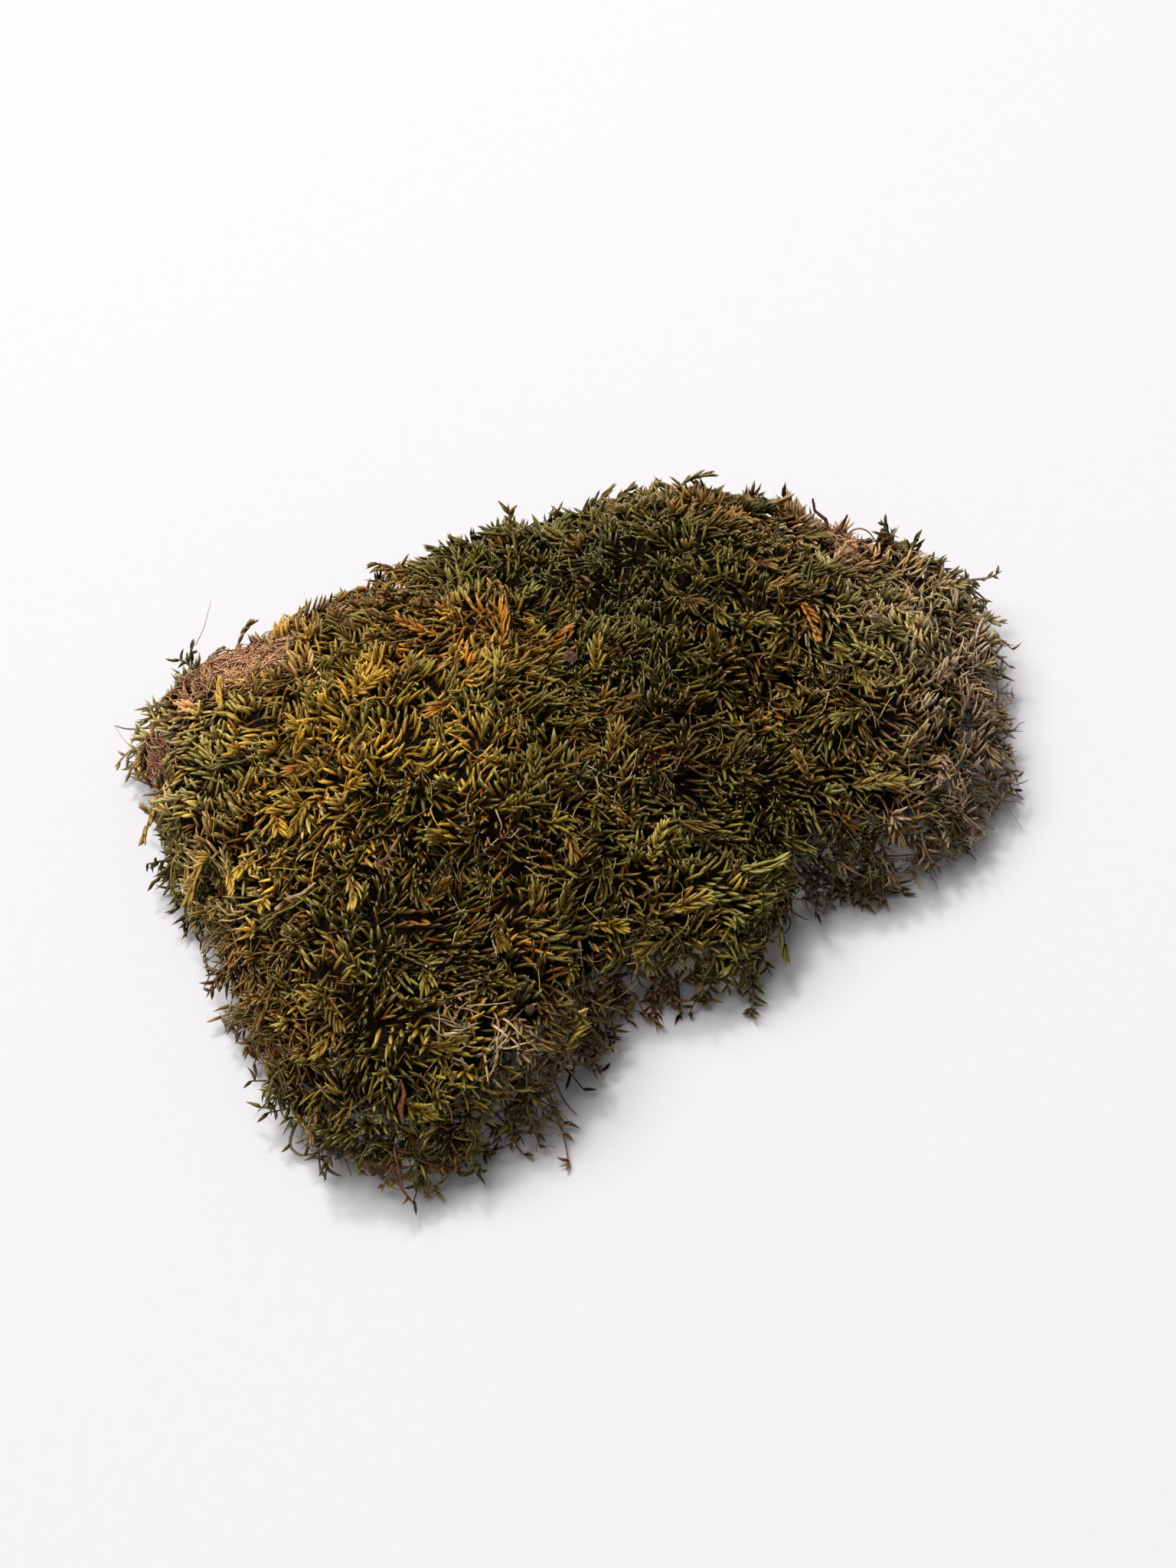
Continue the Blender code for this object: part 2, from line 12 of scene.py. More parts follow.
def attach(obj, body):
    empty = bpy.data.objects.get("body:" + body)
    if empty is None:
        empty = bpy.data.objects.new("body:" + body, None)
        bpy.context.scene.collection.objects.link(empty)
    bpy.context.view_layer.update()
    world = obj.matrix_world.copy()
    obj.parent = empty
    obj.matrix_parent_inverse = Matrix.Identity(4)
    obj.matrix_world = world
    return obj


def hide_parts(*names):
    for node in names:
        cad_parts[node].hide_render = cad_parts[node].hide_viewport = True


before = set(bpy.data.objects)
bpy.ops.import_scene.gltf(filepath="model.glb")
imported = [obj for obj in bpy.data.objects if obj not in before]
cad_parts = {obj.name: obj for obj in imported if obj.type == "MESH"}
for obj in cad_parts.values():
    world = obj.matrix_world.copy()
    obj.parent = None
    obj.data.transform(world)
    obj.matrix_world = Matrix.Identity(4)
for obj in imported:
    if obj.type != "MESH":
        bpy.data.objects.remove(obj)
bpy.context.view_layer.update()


# The mat: older stems and leaves, felted into a dark brown core that the living shoots grow out of.
# It is cut off flat underneath, where the clump was lifted, and drawn in a little under the shoots.
MM = 0.001
MAT_VOXEL = 2.0
MAT_SMOOTHING = 10
MAT_DEPTH = 4.2          # how far the core lies under the mean surface of the shoots
MAT_FOOT = 0.7
MAT_FOOT_RISE = 14.0     # height over which the core's foot is brought back down to the ground
MAT_ROUGH = 0.9
MAT_ROUGH_SIZE = 3.0
# Where the low edge is torn out between its hanging strands: middle in millimetres, reach, and way inwards.
TORN_GAPS = [
    ((55, -16), 7, (-0.2, 1.0)),
    ((65, -13), 9, (-0.1, 1.0)),
    ((74, -11), 9, (-0.2, 1.0)),
    ((18, -42), 8, (-0.3, 1.0)),
    ((27, -43), 5, (-0.3, 1.0)),
    ((6, -56), 8, (-0.8, 0.6)),
    ((-2, -69), 9, (-0.9, 0.4)),
    ((-14, -78), 8, (-0.5, 0.8)),
    ((-30, -86), 6, (0.0, 1.0)),
    ((-46, -82), 6, (0.2, 1.0)),
    ((94, 8), 8, (-0.8, 0.5)),
]
TORN_DEPTH = 8.0
TORN_HEIGHT = 14.0
MAT_LEAST_HEIGHT = 0.3
CORE_SMOOTHING = 4
WELD_GAP = 0.01
FINER = 2.3              # a second wave lies over the first, this many times finer


def link(name, mesh):
    piece = bpy.data.objects.new(name, mesh)
    bpy.context.scene.collection.objects.link(piece)
    return piece


def pick_only(piece):
    bpy.ops.object.select_all(action="DESELECT")
    piece.select_set(True)
    bpy.context.view_layer.objects.active = piece


def modify(piece, kind, **settings):
    modifier = piece.modifiers.new(kind.lower(), kind)
    for name, value in settings.items():
        setattr(modifier, name, value)
    pick_only(piece)
    bpy.ops.object.modifier_apply(modifier=modifier.name)


def keep_biggest_part(piece):
    """Drop the crumbs that remeshing makes of the thin strays."""
    bm = bmesh.new()
    bm.from_mesh(piece.data)
    unseen = set(bm.verts)
    parts = []
    while unseen:
        reached = [unseen.pop()]
        for vert in reached:
            for edge in vert.link_edges:
                other = edge.other_vert(vert)
                if other in unseen:
                    unseen.remove(other)
                    reached.append(other)
        parts.append(reached)
    parts.sort(key=len)
    bmesh.ops.delete(bm, geom=[vert for part in parts[:-1] for vert in part], context="VERTS")
    bm.to_mesh(piece.data)
    bm.free()


mat = link("moss_mat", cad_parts["moss_cushion"].data.copy())
modify(mat, "WELD", merge_threshold=WELD_GAP * MM)
modify(mat, "REMESH", mode="VOXEL", voxel_size=MAT_VOXEL * MM)
keep_biggest_part(mat)
modify(mat, "SMOOTH", factor=0.5, iterations=MAT_SMOOTHING)
mat.data.update()
growth_mesh = bmesh.new()
growth_mesh.from_mesh(mat.data)
bmesh.ops.scale(growth_mesh, vec=(1 / MM, 1 / MM, 1 / MM), verts=growth_mesh.verts)
bmesh.ops.triangulate(growth_mesh, faces=growth_mesh.faces)
growth_mesh.normal_update()
growth_surface = BVHTree.FromBMesh(growth_mesh)
growth_faces = [(face.calc_center_median(), face.normal.copy(), face.calc_area(),
                 [vert.co.copy() for vert in face.verts]) for face in growth_mesh.faces]
growth_mesh.free()

modify(mat, "DISPLACE", strength=-MAT_DEPTH * MM, mid_level=0.0)
modify(mat, "SMOOTH", factor=0.5, iterations=CORE_SMOOTHING)
for vert in mat.data.vertices:
    place = vert.co / MM
    lowered = max(0.0, 1 - (place.z - MAT_DEPTH) / MAT_FOOT_RISE)
    wave = noise.noise(place / MAT_ROUGH_SIZE) + 0.5 * noise.noise(place / MAT_ROUGH_SIZE * FINER)
    place += vert.normal * MAT_ROUGH * wave * (1 - 0.7 * lowered)
    place.z = max(MAT_FOOT + 0.4 * wave, place.z - (MAT_DEPTH - MAT_FOOT) * min(1.0, lowered) ** 0.5)
    place.z = max(place.z, MAT_LEAST_HEIGHT)
    for middle, reach, inwards in TORN_GAPS:
        away = math.hypot(place.x - middle[0], place.y - middle[1]) / (reach + 2 * TORN_DEPTH)
        if away < 1:
            place += Vector((*inwards, 0)) * TORN_DEPTH * (1 - away * away) ** 2
    vert.co = place * MM
mat.data.update()


def linear(hex_colour):
    """Linear RGBA of an sRGB hex colour."""
    shares = [int(hex_colour[k:k + 2], 16) / 255 for k in (1, 3, 5)]
    return tuple(s / 12.92 if s <= 0.04045 else ((s + 0.055) / 1.055) ** 2.4 for s in shares) + (1.0,)


def add_node(tree, kind, settings=None, values=None, links=None, stops=None):
    """One shader node: its settings, its sockets' values, the links into them, and its ramp's stops."""
    node = tree.nodes.new(kind)
    for name, value in (settings or {}).items():
        setattr(node, name, value)
    for name, value in (values or {}).items():
        node.inputs[name].default_value = value
    for name, socket in (links or {}).items():
        tree.links.new(socket, node.inputs[name])
    for k, (position, colour) in enumerate(stops or []):
        node.color_ramp.elements[k].position = position
        node.color_ramp.elements[k].color = colour
    return node


def new_material(name, **constants):
    """A material with its Principled shader, whose constant sockets are set here."""
    material = bpy.data.materials.new(name)
    material.use_nodes = True
    shader = material.node_tree.nodes["Principled BSDF"]
    for socket, value in constants.items():
        shader.inputs[socket.replace("_", " ")].default_value = value
    return material, material.node_tree, shader


# Felted dead moss: matt and dark brown, kept near black as painted shade for the gaps between the shoots,
# with paler fibres just under a millimetre apart, and lighter and darker patches about a centimetre across.
material, tree, shader = new_material("felted dead moss", Roughness=0.95, Specular_IOR_Level=0.15)
where = add_node(tree, "ShaderNodeTexCoord")
fibres = add_node(tree, "ShaderNodeTexNoise", links={"Vector": where.outputs["Object"]},
                  values={"Scale": 1 / (0.9 * MM), "Detail": 6.0, "Distortion": 1.5})
patches = add_node(tree, "ShaderNodeTexNoise", values={"Scale": 1 / (11 * MM), "Detail": 2.0},
                   links={"Vector": where.outputs["Object"]})
# Near-black fibre colours: the mat's own dark brown, darkened further as painted shade for the gaps.
fibre_colour_and_painted_shade = add_node(tree, "ShaderNodeValToRGB", links={"Fac": fibres.outputs["Fac"]},
                        stops=[(0.38, linear("#0d0702")), (0.68, linear("#241708"))])
tone = add_node(tree, "ShaderNodeMix", settings={"data_type": "RGBA", "blend_type": "MULTIPLY"},
                values={0: 0.6}, links={6: fibre_colour_and_painted_shade.outputs["Color"], 7: patches.outputs["Color"]})
tree.links.new(tone.outputs[2], shader.inputs["Base Color"])
relief = add_node(tree, "ShaderNodeBump", values={"Strength": 0.8, "Distance": 0.4 * MM},
                  links={"Height": fibres.outputs["Fac"]})
tree.links.new(relief.outputs["Normal"], shader.inputs["Normal"])
mat.data.materials.clear()
mat.data.materials.append(material)
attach(mat, "root")
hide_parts("moss_cushion")


# A branchlet: a slim, pointed shoot of 3 to 6 mm, closely wrapped in overlapping leaves like a grain of rice.
# A round one is shaped for the sprigs on top and a plainer one for those in their shade, and both are then
# copied by the thousand. Each ring: its share of the length and its share of the half width.
ROUND_RINGS = [(0.0, 0.40), (0.16, 0.86), (0.45, 1.0), (0.80, 0.72)]
PLAIN_RINGS = [(0.0, 0.36), (0.30, 1.0), (0.68, 0.76)]
MAP_WIDTH = 0.8          # share of its map cell that the way round a shoot takes


def shape_form(rings, sides):
    """Model one shoot by hand, ring after ring; return its points, its triangles and their map corners."""
    bpy.ops.object.select_all(action="DESELECT")
    bpy.ops.mesh.primitive_circle_add(vertices=sides, radius=rings[0][1], fill_type="NGON")
    shape = bpy.context.object
    bpy.ops.object.mode_set(mode="EDIT")
    bpy.ops.mesh.select_all(action="SELECT")
    bpy.ops.mesh.normals_make_consistent(inside=False)
    for (low, inner), (high, outer) in zip(rings, rings[1:]):
        bpy.ops.mesh.extrude_region_move(TRANSFORM_OT_translate={"value": (0, 0, high - low)})
        bpy.ops.transform.resize(value=(outer / inner, outer / inner, 1))
        bpy.ops.transform.rotate(value=math.pi / sides, orient_axis="Z", center_override=(0, 0, high))
    bpy.ops.mesh.extrude_region_move(TRANSFORM_OT_translate={"value": (0, 0, 1 - rings[-1][0])})
    bpy.ops.mesh.merge(type="CENTER")
    bpy.ops.object.mode_set(mode="OBJECT")
    bm = bmesh.new()
    bm.from_mesh(shape.data)
    bmesh.ops.triangulate(bm, faces=bm.faces)
    bmesh.ops.recalc_face_normals(bm, faces=bm.faces)
    points = np.array([(vert.co.z, vert.co.x, vert.co.y) for vert in bm.verts])
    # Blender hands the triangles over in another order each time, so they are sorted to come out alike.
    places = [vert.co.copy() for vert in bm.verts]
    triangles = []
    for face in bm.faces:
        row = [vert.index for vert in face.verts]
        first = row.index(min(row))
        triangles.append(row[first:] + row[:first])
    triangles.sort()
    corners = []
    for row in triangles:
        middle = (places[row[0]] + places[row[1]] + places[row[2]]) / 3
        turn = math.atan2(middle.y, middle.x)
        for place in (places[index] for index in row):
            own = math.atan2(place.y, place.x) if math.hypot(place.x, place.y) > 1e-4 else turn
            own = turn + (own - turn + math.pi) % (2 * math.pi) - math.pi
            corners.append((0.5 + own / (2 * math.pi) * MAP_WIDTH, place.z))
    bm.free()
    bpy.data.objects.remove(shape)
    return points, np.array(triangles), np.array(corners).reshape(-1, 3, 2)


FORMS = {"round": shape_form(ROUND_RINGS, 5), "plain": shape_form(PLAIN_RINGS, 4)}


# The colours of the moss: a few of living and dead leaves, and where on the clump each of them prevails.
# Golden and olive on the left, orange tufts of dry shoots, deep green and deep olive in the middle, in the
# hollows, on the front slope and at the tongue's foot, brown and mauve where the rim has died back. The deep
# greens and olives are partly the moss's own greener colour there and partly painted shade for places that
# lie away from the light.
PALETTE = {
    "gold": "#a6842c",
    "olive": "#87732c",
    "pale olive": "#a59664",
    "moss olive": "#777038",
    "dull olive": "#5b4c20",
    "green": "#423c0f",
    # Deep green and deep olive: partly the greener colour of moss in hollows, partly painted shade.
    "deep green shade": "#222709",
    "deep olive shade": "#33290b",
    "brown": "#6a4820",
    "orange": "#a4641a",
    "tan": "#957f5e",
    "mauve": "#998172",
    "pink": "#ab8262",
    "rust": "#8c5f46",
    "grey": "#6e5c46",
    "black": "#2e241a",
}
COLOURS = {name: np.array(linear(code)[:3]) for name, code in PALETTE.items()}
# Each patch: its middle in millimetres, reach, weight and colour.
PATCHES = [
    ("left tip", (-90, 12), 8, 1.0, "pale olive"),
    ("left tip olive", (-76, 4), 11, 1.4, "moss olive"),
    ("left flank olive", (-76, -22), 9, 1.0, "pale olive"),
    ("left knot", (-89, 7), 5, 2.0, "rust"),
    ("left dead patch", (-72, 27), 9, 2.6, "pink"),
    ("left dead rim", (-66, 18), 6, 1.0, "brown"),
    ("back left", (-46, 43), 16, 1.0, "dull olive"),
    ("back left edge", (-38, 54), 12, 0.6, "moss olive"),
    ("back left brown", (-50, 40), 13, 1.0, "brown"),
    ("back left hollow", (-18, 58), 9, 1.8, "green"),
    ("crest", (0, 70), 14, 1.2, "dull olive"),
    ("crest brown", (22, 72), 12, 0.7, "brown"),
    ("crest edge", (14, 78), 12, 0.8, "moss olive"),
    ("crest hollow", (12, 52), 9, 5.0, "deep green shade"),
    ("crest green", (24, 56), 12, 1.4, "green"),
    ("crest right", (40, 60), 13, 0.6, "brown"),
    ("crest right olive", (44, 58), 14, 1.2, "dull olive"),
    ("shreds round the root", (63, 65), 6, 2.4, "pink"),
    ("right top", (72, 56), 13, 1.0, "tan"),
    ("right top tuft", (84, 64), 8, 1.4, "green"),
    ("right upper edge", (86, 46), 12, 1.0, "tan"),
    ("right edge", (95, 30), 9, 1.8, "mauve"),
    ("right lobe", (66, 25), 18, 1.2, "moss olive"),
    ("right lobe brown", (78, 14), 13, 1.0, "grey"),
    ("right low edge", (86, 0), 9, 1.6, "mauve"),
    ("right low brown", (68, 3), 12, 1.0, "brown"),
    ("right hollow", (56, -10), 9, 1.8, "deep green shade"),
    ("centre", (24, 16), 18, 1.3, "green"),
    ("centre hollow", (36, 8), 15, 1.4, "deep olive shade"),
    ("centre brown", (16, -4), 16, 0.6, "brown"),
    ("tuft at the back", (-24, 31), 8, 1.1, "orange"),
    ("tuft on the left", (-46, -15), 9, 0.5, "orange"),
    ("tuft back left", (-42, 55), 5, 1.4, "orange"),
    ("tuft on the right", (44, 16), 10, 0.4, "orange"),
    ("tuft in front", (-12, -36), 15, 0.4, "orange"),
    ("upper left", (-50, 10), 17, 1.3, "gold"),
    ("left", (-48, -6), 16, 1.5, "gold"),
    ("middle", (-20, -4), 18, 0.9, "olive"),
    ("lower left", (-65, -10), 15, 1.0, "gold"),
    ("left flank", (-78, -14), 14, 1.2, "pale olive"),
    ("left flank foot", (-74, -34), 12, 1.0, "brown"),
    ("front slope", (-36, -36), 15, 1.0, "green"),
    ("front slope hollow", (-34, -42), 14, 3.0, "deep olive shade"),
    ("front slope right", (0, -34), 18, 1.2, "green"),
    ("front right", (28, -36), 14, 1.7, "moss olive"),
    ("front right olive", (28, -32), 13, 0.9, "olive"),
    ("front right edge", (42, -28), 10, 1.4, "green"),
    ("tongue", (-42, -62), 13, 1.0, "olive"),
    ("tongue right", (-20, -64), 9, 1.0, "gold"),
    ("tongue left edge", (-61, -58), 10, 1.6, "brown"),
    ("tongue foot", (-42, -76), 9, 1.0, "deep green shade"),
    ("tongue foot right", (-20, -80), 9, 1.4, "green"),
    ("tongue right edge", (-4, -68), 8, 1.4, "grey"),
]
STRAY_COLOURS = ["moss olive", "dull olive", "green", "brown", "brown"]
STRAY_SHARE = 0.15
CLUMP_SIZE = 9.0          # size of the lighter and darker clumps within a patch
CLUMP_CONTRAST = 0.5
OWN_COLOUR = 0.6         # share of the chosen patch's colour; the rest is the mean of those around
LIGHTNESS = (0.65, 1.35)
WARMTH = 0.12
FARTHEST = 6.0           # in reaches of a patch
PATCH_PLACES = np.array([place for _, place, _, _, _ in PATCHES], float)
PATCH_REACHES = np.array([reach for _, _, reach, _, _ in PATCHES], float)
PATCH_WEIGHTS = np.array([weight for _, _, _, weight, _ in PATCHES])
PATCH_COLOURS = np.array([COLOURS[colour] for _, _, _, _, colour in PATCHES])


def patch_colour(place, dice):
    """Colour of one sprig: mostly that of a patch near it, now and then another's, each a little changed."""
    away = np.hypot(PATCH_PLACES[:, 0] - place.x, PATCH_PLACES[:, 1] - place.y) / PATCH_REACHES
    weights = PATCH_WEIGHTS * np.exp(-0.5 * np.minimum(away, FARTHEST) ** 2) + 1e-9
    chosen = PATCH_COLOURS[dice.choices(range(len(PATCHES)), weights)[0]]
    mean = (weights[:, None] * PATCH_COLOURS).sum(0) / weights.sum()
    if dice.random() < STRAY_SHARE:
        chosen = COLOURS[dice.choice(STRAY_COLOURS)]
    value = dice.uniform(*LIGHTNESS) * (1 + CLUMP_CONTRAST * noise.noise(place / CLUMP_SIZE))
    warm = dice.uniform(-WARMTH, WARMTH)
    return (OWN_COLOUR * chosen + (1 - OWN_COLOUR) * mean) * value * np.array([1 + warm, 1.0, 1 - warm])


# The living shoots: stems creep over the clump and over each other, each with branchlets to both sides like a
# feather, tips outwards and a little raised, and shorter towards the end. Older, plainer ones lie underneath.
SEED = 11
LOWER = {"form": "plain", "count": 600, "gap": 4.8, "length": (8, 13), "step": 2.1, "side": (3.6, 5.2),
         "lift": (-2.7, -1.0), "stray": math.pi, "width": 0.44, "shade": 0.3}
UPPER = {"form": "round", "count": 260, "gap": 6.5, "length": (4, 9), "step": 1.3, "side": (3.2, 4.8),
         "lift": (-0.9, 0.8), "stray": 2.0, "width": 0.42, "shade": 1.1}
SWIRL_SIZE = 24.0
SWIRL_TURN = 2.7
SMALL_SWIRL_TURN = 0.8
SMALL_SWIRL_FINER = 2.6
TO_THE_LIGHT = Vector((0.4, 0.6, 0))
SPREAD_DEG = (34, 60)
SPRIG_CURL = 0.1         # radians for each millimetre of the stem
SPRIG_TILT = (0.1, 0.8)
SPRIG_BEND = (-0.15, 0.4)
SPRIG_SWAY = (0.1, 0.45)
FOOT_SPREAD = (-0.6, 0.8)
TIP_SPREAD = (-0.8, 1.2)
RISING = 2.6             # how much higher the tip stands of a sprig that rises out of the others
RISING_SHARE = 0.25
FREE_HEIGHT = 14         # below this a sprig may leave the rim and run on freely
FREE_SHARE = 0.4
FREE_FROM = 0.35         # share of its length from which it does so
HALF_WIDTH = 0.44
STEM_RADIUS = 0.24
STEM_STEPS = 5
LEAST_HEIGHT = 0.25
START_HEIGHT = 1.5       # lowest place that a shoot starts from
START_FACING = -0.55     # and the furthest it may face down there
START_TRIES = 14

dice = random.Random(SEED)
shoots = []              # form, base, heading, up, length, half width, bend up, bend aside, colour
stems = []               # route, radius, colour


def lie_of_moss(place):
    """Direction in plan that the stems creep in: to the light on top, down the slopes, turned in swirls."""
    slope = growth_surface.find_nearest(place)[1]
    downhill = (Vector((slope.x, slope.y, 0)) * 2 + TO_THE_LIGHT).normalized()
    turn = SWIRL_TURN * noise.noise(place / SWIRL_SIZE)
    turn += SMALL_SWIRL_TURN * noise.noise(place / SWIRL_SIZE * SMALL_SWIRL_FINER)
    return Matrix.Rotation(turn, 3, "Z") @ downhill


def spread_starts(count, gap):
    """Places on the growth surface, no two closer than the gap, as far as there is room."""
    faces = [face for face in growth_faces if face[0].z > START_HEIGHT and face[1].z > START_FACING]
    areas = np.cumsum([face[2] for face in faces])
    taken = {}
    starts = []
    for _ in range(count * START_TRIES):
        if len(starts) >= count:
            break
        face = faces[int(np.searchsorted(areas, dice.random() * areas[-1]))]
        one, two = sorted((dice.random(), dice.random()))
        a, b, c = face[3]
        place = a * one + b * (two - one) + c * (1 - two)
        cell = tuple(int(v // gap) for v in place)
        near = [other for dx in (-1, 0, 1) for dy in (-1, 0, 1) for dz in (-1, 0, 1)
                for other in taken.get((cell[0] + dx, cell[1] + dy, cell[2] + dz), [])]
        if all((place - other).length > gap for other in near):
            taken.setdefault(cell, []).append(place)
            starts.append(place)
    return starts


def add_shoot(form, base, heading, normal, length, half_width, bend, sway, colour):
    heading = heading.normalized()
    up = (normal - heading * normal.dot(heading)).normalized()
    shoots.append((form, tuple(base), tuple(heading), tuple(up), length, half_width, bend, sway,
                   tuple(colour)))


def smooth_route(points, count):
    """The same number of points along any route, on a smooth curve through the points given."""
    spots = [Vector(point) for point in points]
    spots = [spots[0] * 2 - spots[1]] + spots + [spots[-1] * 2 - spots[-2]]
    route = []
    for k in range(count):
        at = k / (count - 1) * (len(spots) - 3)
        first = min(int(at), len(spots) - 4)
        a, b, c, d = spots[first:first + 4]
        t = at - first
        route.append(0.5 * (2 * b + (c - a) * t + (2 * a - 5 * b + 4 * c - d) * t * t
                            + (3 * b - a - 3 * c + d) * t * t * t))
    return route


def grow_sprig(start, layer, free, rising):
    """One stem that creeps over the surface, or runs on freely past the rim, and its branchlets."""
    side_length = dice.uniform(*layer["side"])
    steps = max(3, int(dice.uniform(*layer["length"]) / layer["step"]))
    curl = dice.uniform(-SPRIG_CURL, SPRIG_CURL) * layer["step"]
    colour = patch_colour(start, dice) * layer["shade"]
    direction = Matrix.Rotation(dice.uniform(-1, 1) * layer["stray"], 3, "Z") @ lie_of_moss(start)
    low, high = layer["lift"]
    low += dice.uniform(*FOOT_SPREAD)
    high += dice.uniform(*TIP_SPREAD) + (RISING if rising else 0)
    tilt = dice.uniform(*SPRIG_TILT)
    bend = dice.uniform(*SPRIG_BEND)
    sway = dice.uniform(*SPRIG_SWAY)
    place = start.copy()
    nodes = []
    for k in range(steps + 1):
        share = k / steps
        spot, normal, _, _ = growth_surface.find_nearest(place)
        loose = free and share > FREE_FROM
        direction = direction if loose else (direction - normal * direction.dot(normal)).normalized()
        node = (place if loose else spot) + normal * (low + (high - low) * share)
        nodes.append(node)
        taper = 0.6 + 0.4 * min(1.0, share / 0.3) - 0.3 * max(0.0, share - 0.4)
        own = side_length * taper
        for hand in (-1, 1) if k < steps else (-1, 0, 1):
            side = normal.cross(direction) * hand
            angle = math.radians(dice.uniform(*SPREAD_DEG)) * (1 - 0.35 * share)
            heading = direction * math.cos(angle) + side * math.sin(angle)
            heading = heading + normal * (tilt + dice.uniform(-0.2, 0.2))
            tint = colour * dice.uniform(0.8, 1.2)
            add_shoot(layer["form"], node + direction * dice.uniform(-0.3, 0.3), heading, normal,
                      own * dice.uniform(0.75, 1.2), layer["width"] * dice.uniform(0.8, 1.15),
                      bend + dice.uniform(-0.12, 0.12), -hand * sway + dice.uniform(-0.15, 0.15), tint)
        place = (place if loose else spot) + direction * layer["step"]
        direction = Matrix.Rotation(curl, 3, normal) @ direction
    stems.append((smooth_route(nodes[::2] + nodes[-1:], STEM_STEPS), STEM_RADIUS, 0.5 * colour))


for layer in (LOWER, UPPER):
    for start in spread_starts(layer["count"], layer["gap"]):
        free = start.z < FREE_HEIGHT and dice.random() < FREE_SHARE
        rising = layer is UPPER and dice.random() < RISING_SHARE
        grow_sprig(start, layer, free, rising)


# The living face of the clump: at the ends of the stems the branchlets stand side by side in small combs and
# fans, all those of one end alike, and each end at its own slant. They rise out of the shade to the light.
COMBS = 2500
COMB_GAP = 3.8
COMB_SHOOTS = 9200
COMB_SHOOT_GAP = 1.52
COMB_SIDE = (3.1, 4.8)
COMB_RISE = (0.2, 0.95)
COMB_FAN = 0.16          # how far a comb opens, in radians for each millimetre across it
COMB_ROOT = (-2.4, -0.6)
COMB_HALF_WIDTH = 0.46
COMB_TURN = 1.3
COMB_SWAY = 0.45
COMB_BEND = (-0.3, 0.2)
COMB_SHADE = 1.05
COMB_LIGHT = (0.7, 1.3)
SHOOT_TURN = 0.18        # how far a shoot strays from its comb, in radians, and in its slant and its sway
SHOOT_SLANT = 0.1
SHOOT_SWAY = 0.16
LOW_EDGE = 23.0          # below this height the shoots have grown slimmer and more twisted, for want of light
LOW_SLIMNESS = 0.84
LOW_TWIST = 1.9

combs = []
comb_places = spread_starts(COMBS, COMB_GAP)
comb_tree = KDTree(len(comb_places))
for k, start in enumerate(comb_places):
    comb_tree.insert(start, k)
    heading = Matrix.Rotation(dice.uniform(-COMB_TURN, COMB_TURN), 3, "Z") @ lie_of_moss(start)
    combs.append((start, heading, dice.uniform(*COMB_RISE), dice.uniform(-COMB_SWAY, COMB_SWAY),
                  dice.uniform(*COMB_SIDE), dice.uniform(*COMB_ROOT), dice.uniform(0, 2 * COMB_FAN),
                  patch_colour(start, dice) * COMB_SHADE))
comb_tree.balance()
for start in spread_starts(COMB_SHOOTS, COMB_SHOOT_GAP):
    middle, heading, rise, sway, length, root, fan, colour = combs[comb_tree.find(start)[1]]
    spot, normal, _, _ = growth_surface.find_nearest(start)
    heading = (heading - normal * heading.dot(normal)).normalized()
    across = (start - middle).dot(normal.cross(heading))
    heading = Matrix.Rotation(fan * across + dice.uniform(-SHOOT_TURN, SHOOT_TURN), 3, normal) @ heading
    slant = rise + dice.uniform(-SHOOT_SLANT, SHOOT_SLANT)
    slimness, twist = (LOW_SLIMNESS, LOW_TWIST) if start.z < LOW_EDGE else (1.0, 1.0)
    add_shoot("round", spot + normal * (root + dice.uniform(-0.3, 0.3)),
              heading * math.cos(slant) + normal * math.sin(slant), normal, length * dice.uniform(0.8, 1.15),
              COMB_HALF_WIDTH * slimness * dice.uniform(0.8, 1.1), twist * dice.uniform(*COMB_BEND),
              twist * sway + dice.uniform(-SHOOT_SWAY, SHOOT_SWAY), colour * dice.uniform(*COMB_LIGHT))


# Rosettes: the ends of shoots that stand up through the others and spread like small stars, four to six
# branchlets round a middle one.
ROSETTES = 150
ROSETTE_GAP = 5.5
ROSETTE_SIDE = (3.0, 4.8)
ROSETTE_FOOT = (-1.2, 0.3)
ROSETTE_OPENING = (0.5, 0.95)
ROSETTE_SHADE = 1.06

for start in spread_starts(ROSETTES, ROSETTE_GAP):
    spot, normal, _, _ = growth_surface.find_nearest(start)
    colour = patch_colour(start, dice) * ROSETTE_SHADE
    lean = (normal + lie_of_moss(start) * dice.uniform(0.3, 1.0)).normalized()
    foot = spot + normal * dice.uniform(*ROSETTE_FOOT)
    across = lean.orthogonal().normalized()
    count = dice.randint(4, 6)
    opening = dice.uniform(*ROSETTE_OPENING)
    for k in range(count):
        turned = Matrix.Rotation(2 * math.pi * (k + dice.uniform(-0.2, 0.2)) / count, 3, lean) @ across
        heading = (lean * math.cos(opening) + turned * math.sin(opening)).normalized()
        add_shoot("round", foot, heading, lean, dice.uniform(*ROSETTE_SIDE),
                  HALF_WIDTH * dice.uniform(0.8, 1.05), dice.uniform(-0.1, 0.2), dice.uniform(-0.15, 0.15),
                  colour * dice.uniform(0.85, 1.15))
    add_shoot("round", foot, lean, across, dice.uniform(*ROSETTE_SIDE), HALF_WIDTH, 0.05, 0.05, colour)


# Single older shoots close the gaps between the stems. They lie any way in the shade, and their colour is
# browner than that of the living ones, because their leaves have died, and darker still as painted shade, so
# that the gaps read dark.
OLD_SHOOTS = 2600
OLD_SHOOT_GAP = 1.9
OLD_SIDE = (4.0, 6.0)
OLD_DEPTH = (1.0, 2.6)
# Browner for the dead leaves, and darkened as painted shade for the gaps between the stems.
OLD_LEAF_BROWN_AND_SHADE = np.array([0.42, 0.24, 0.12])

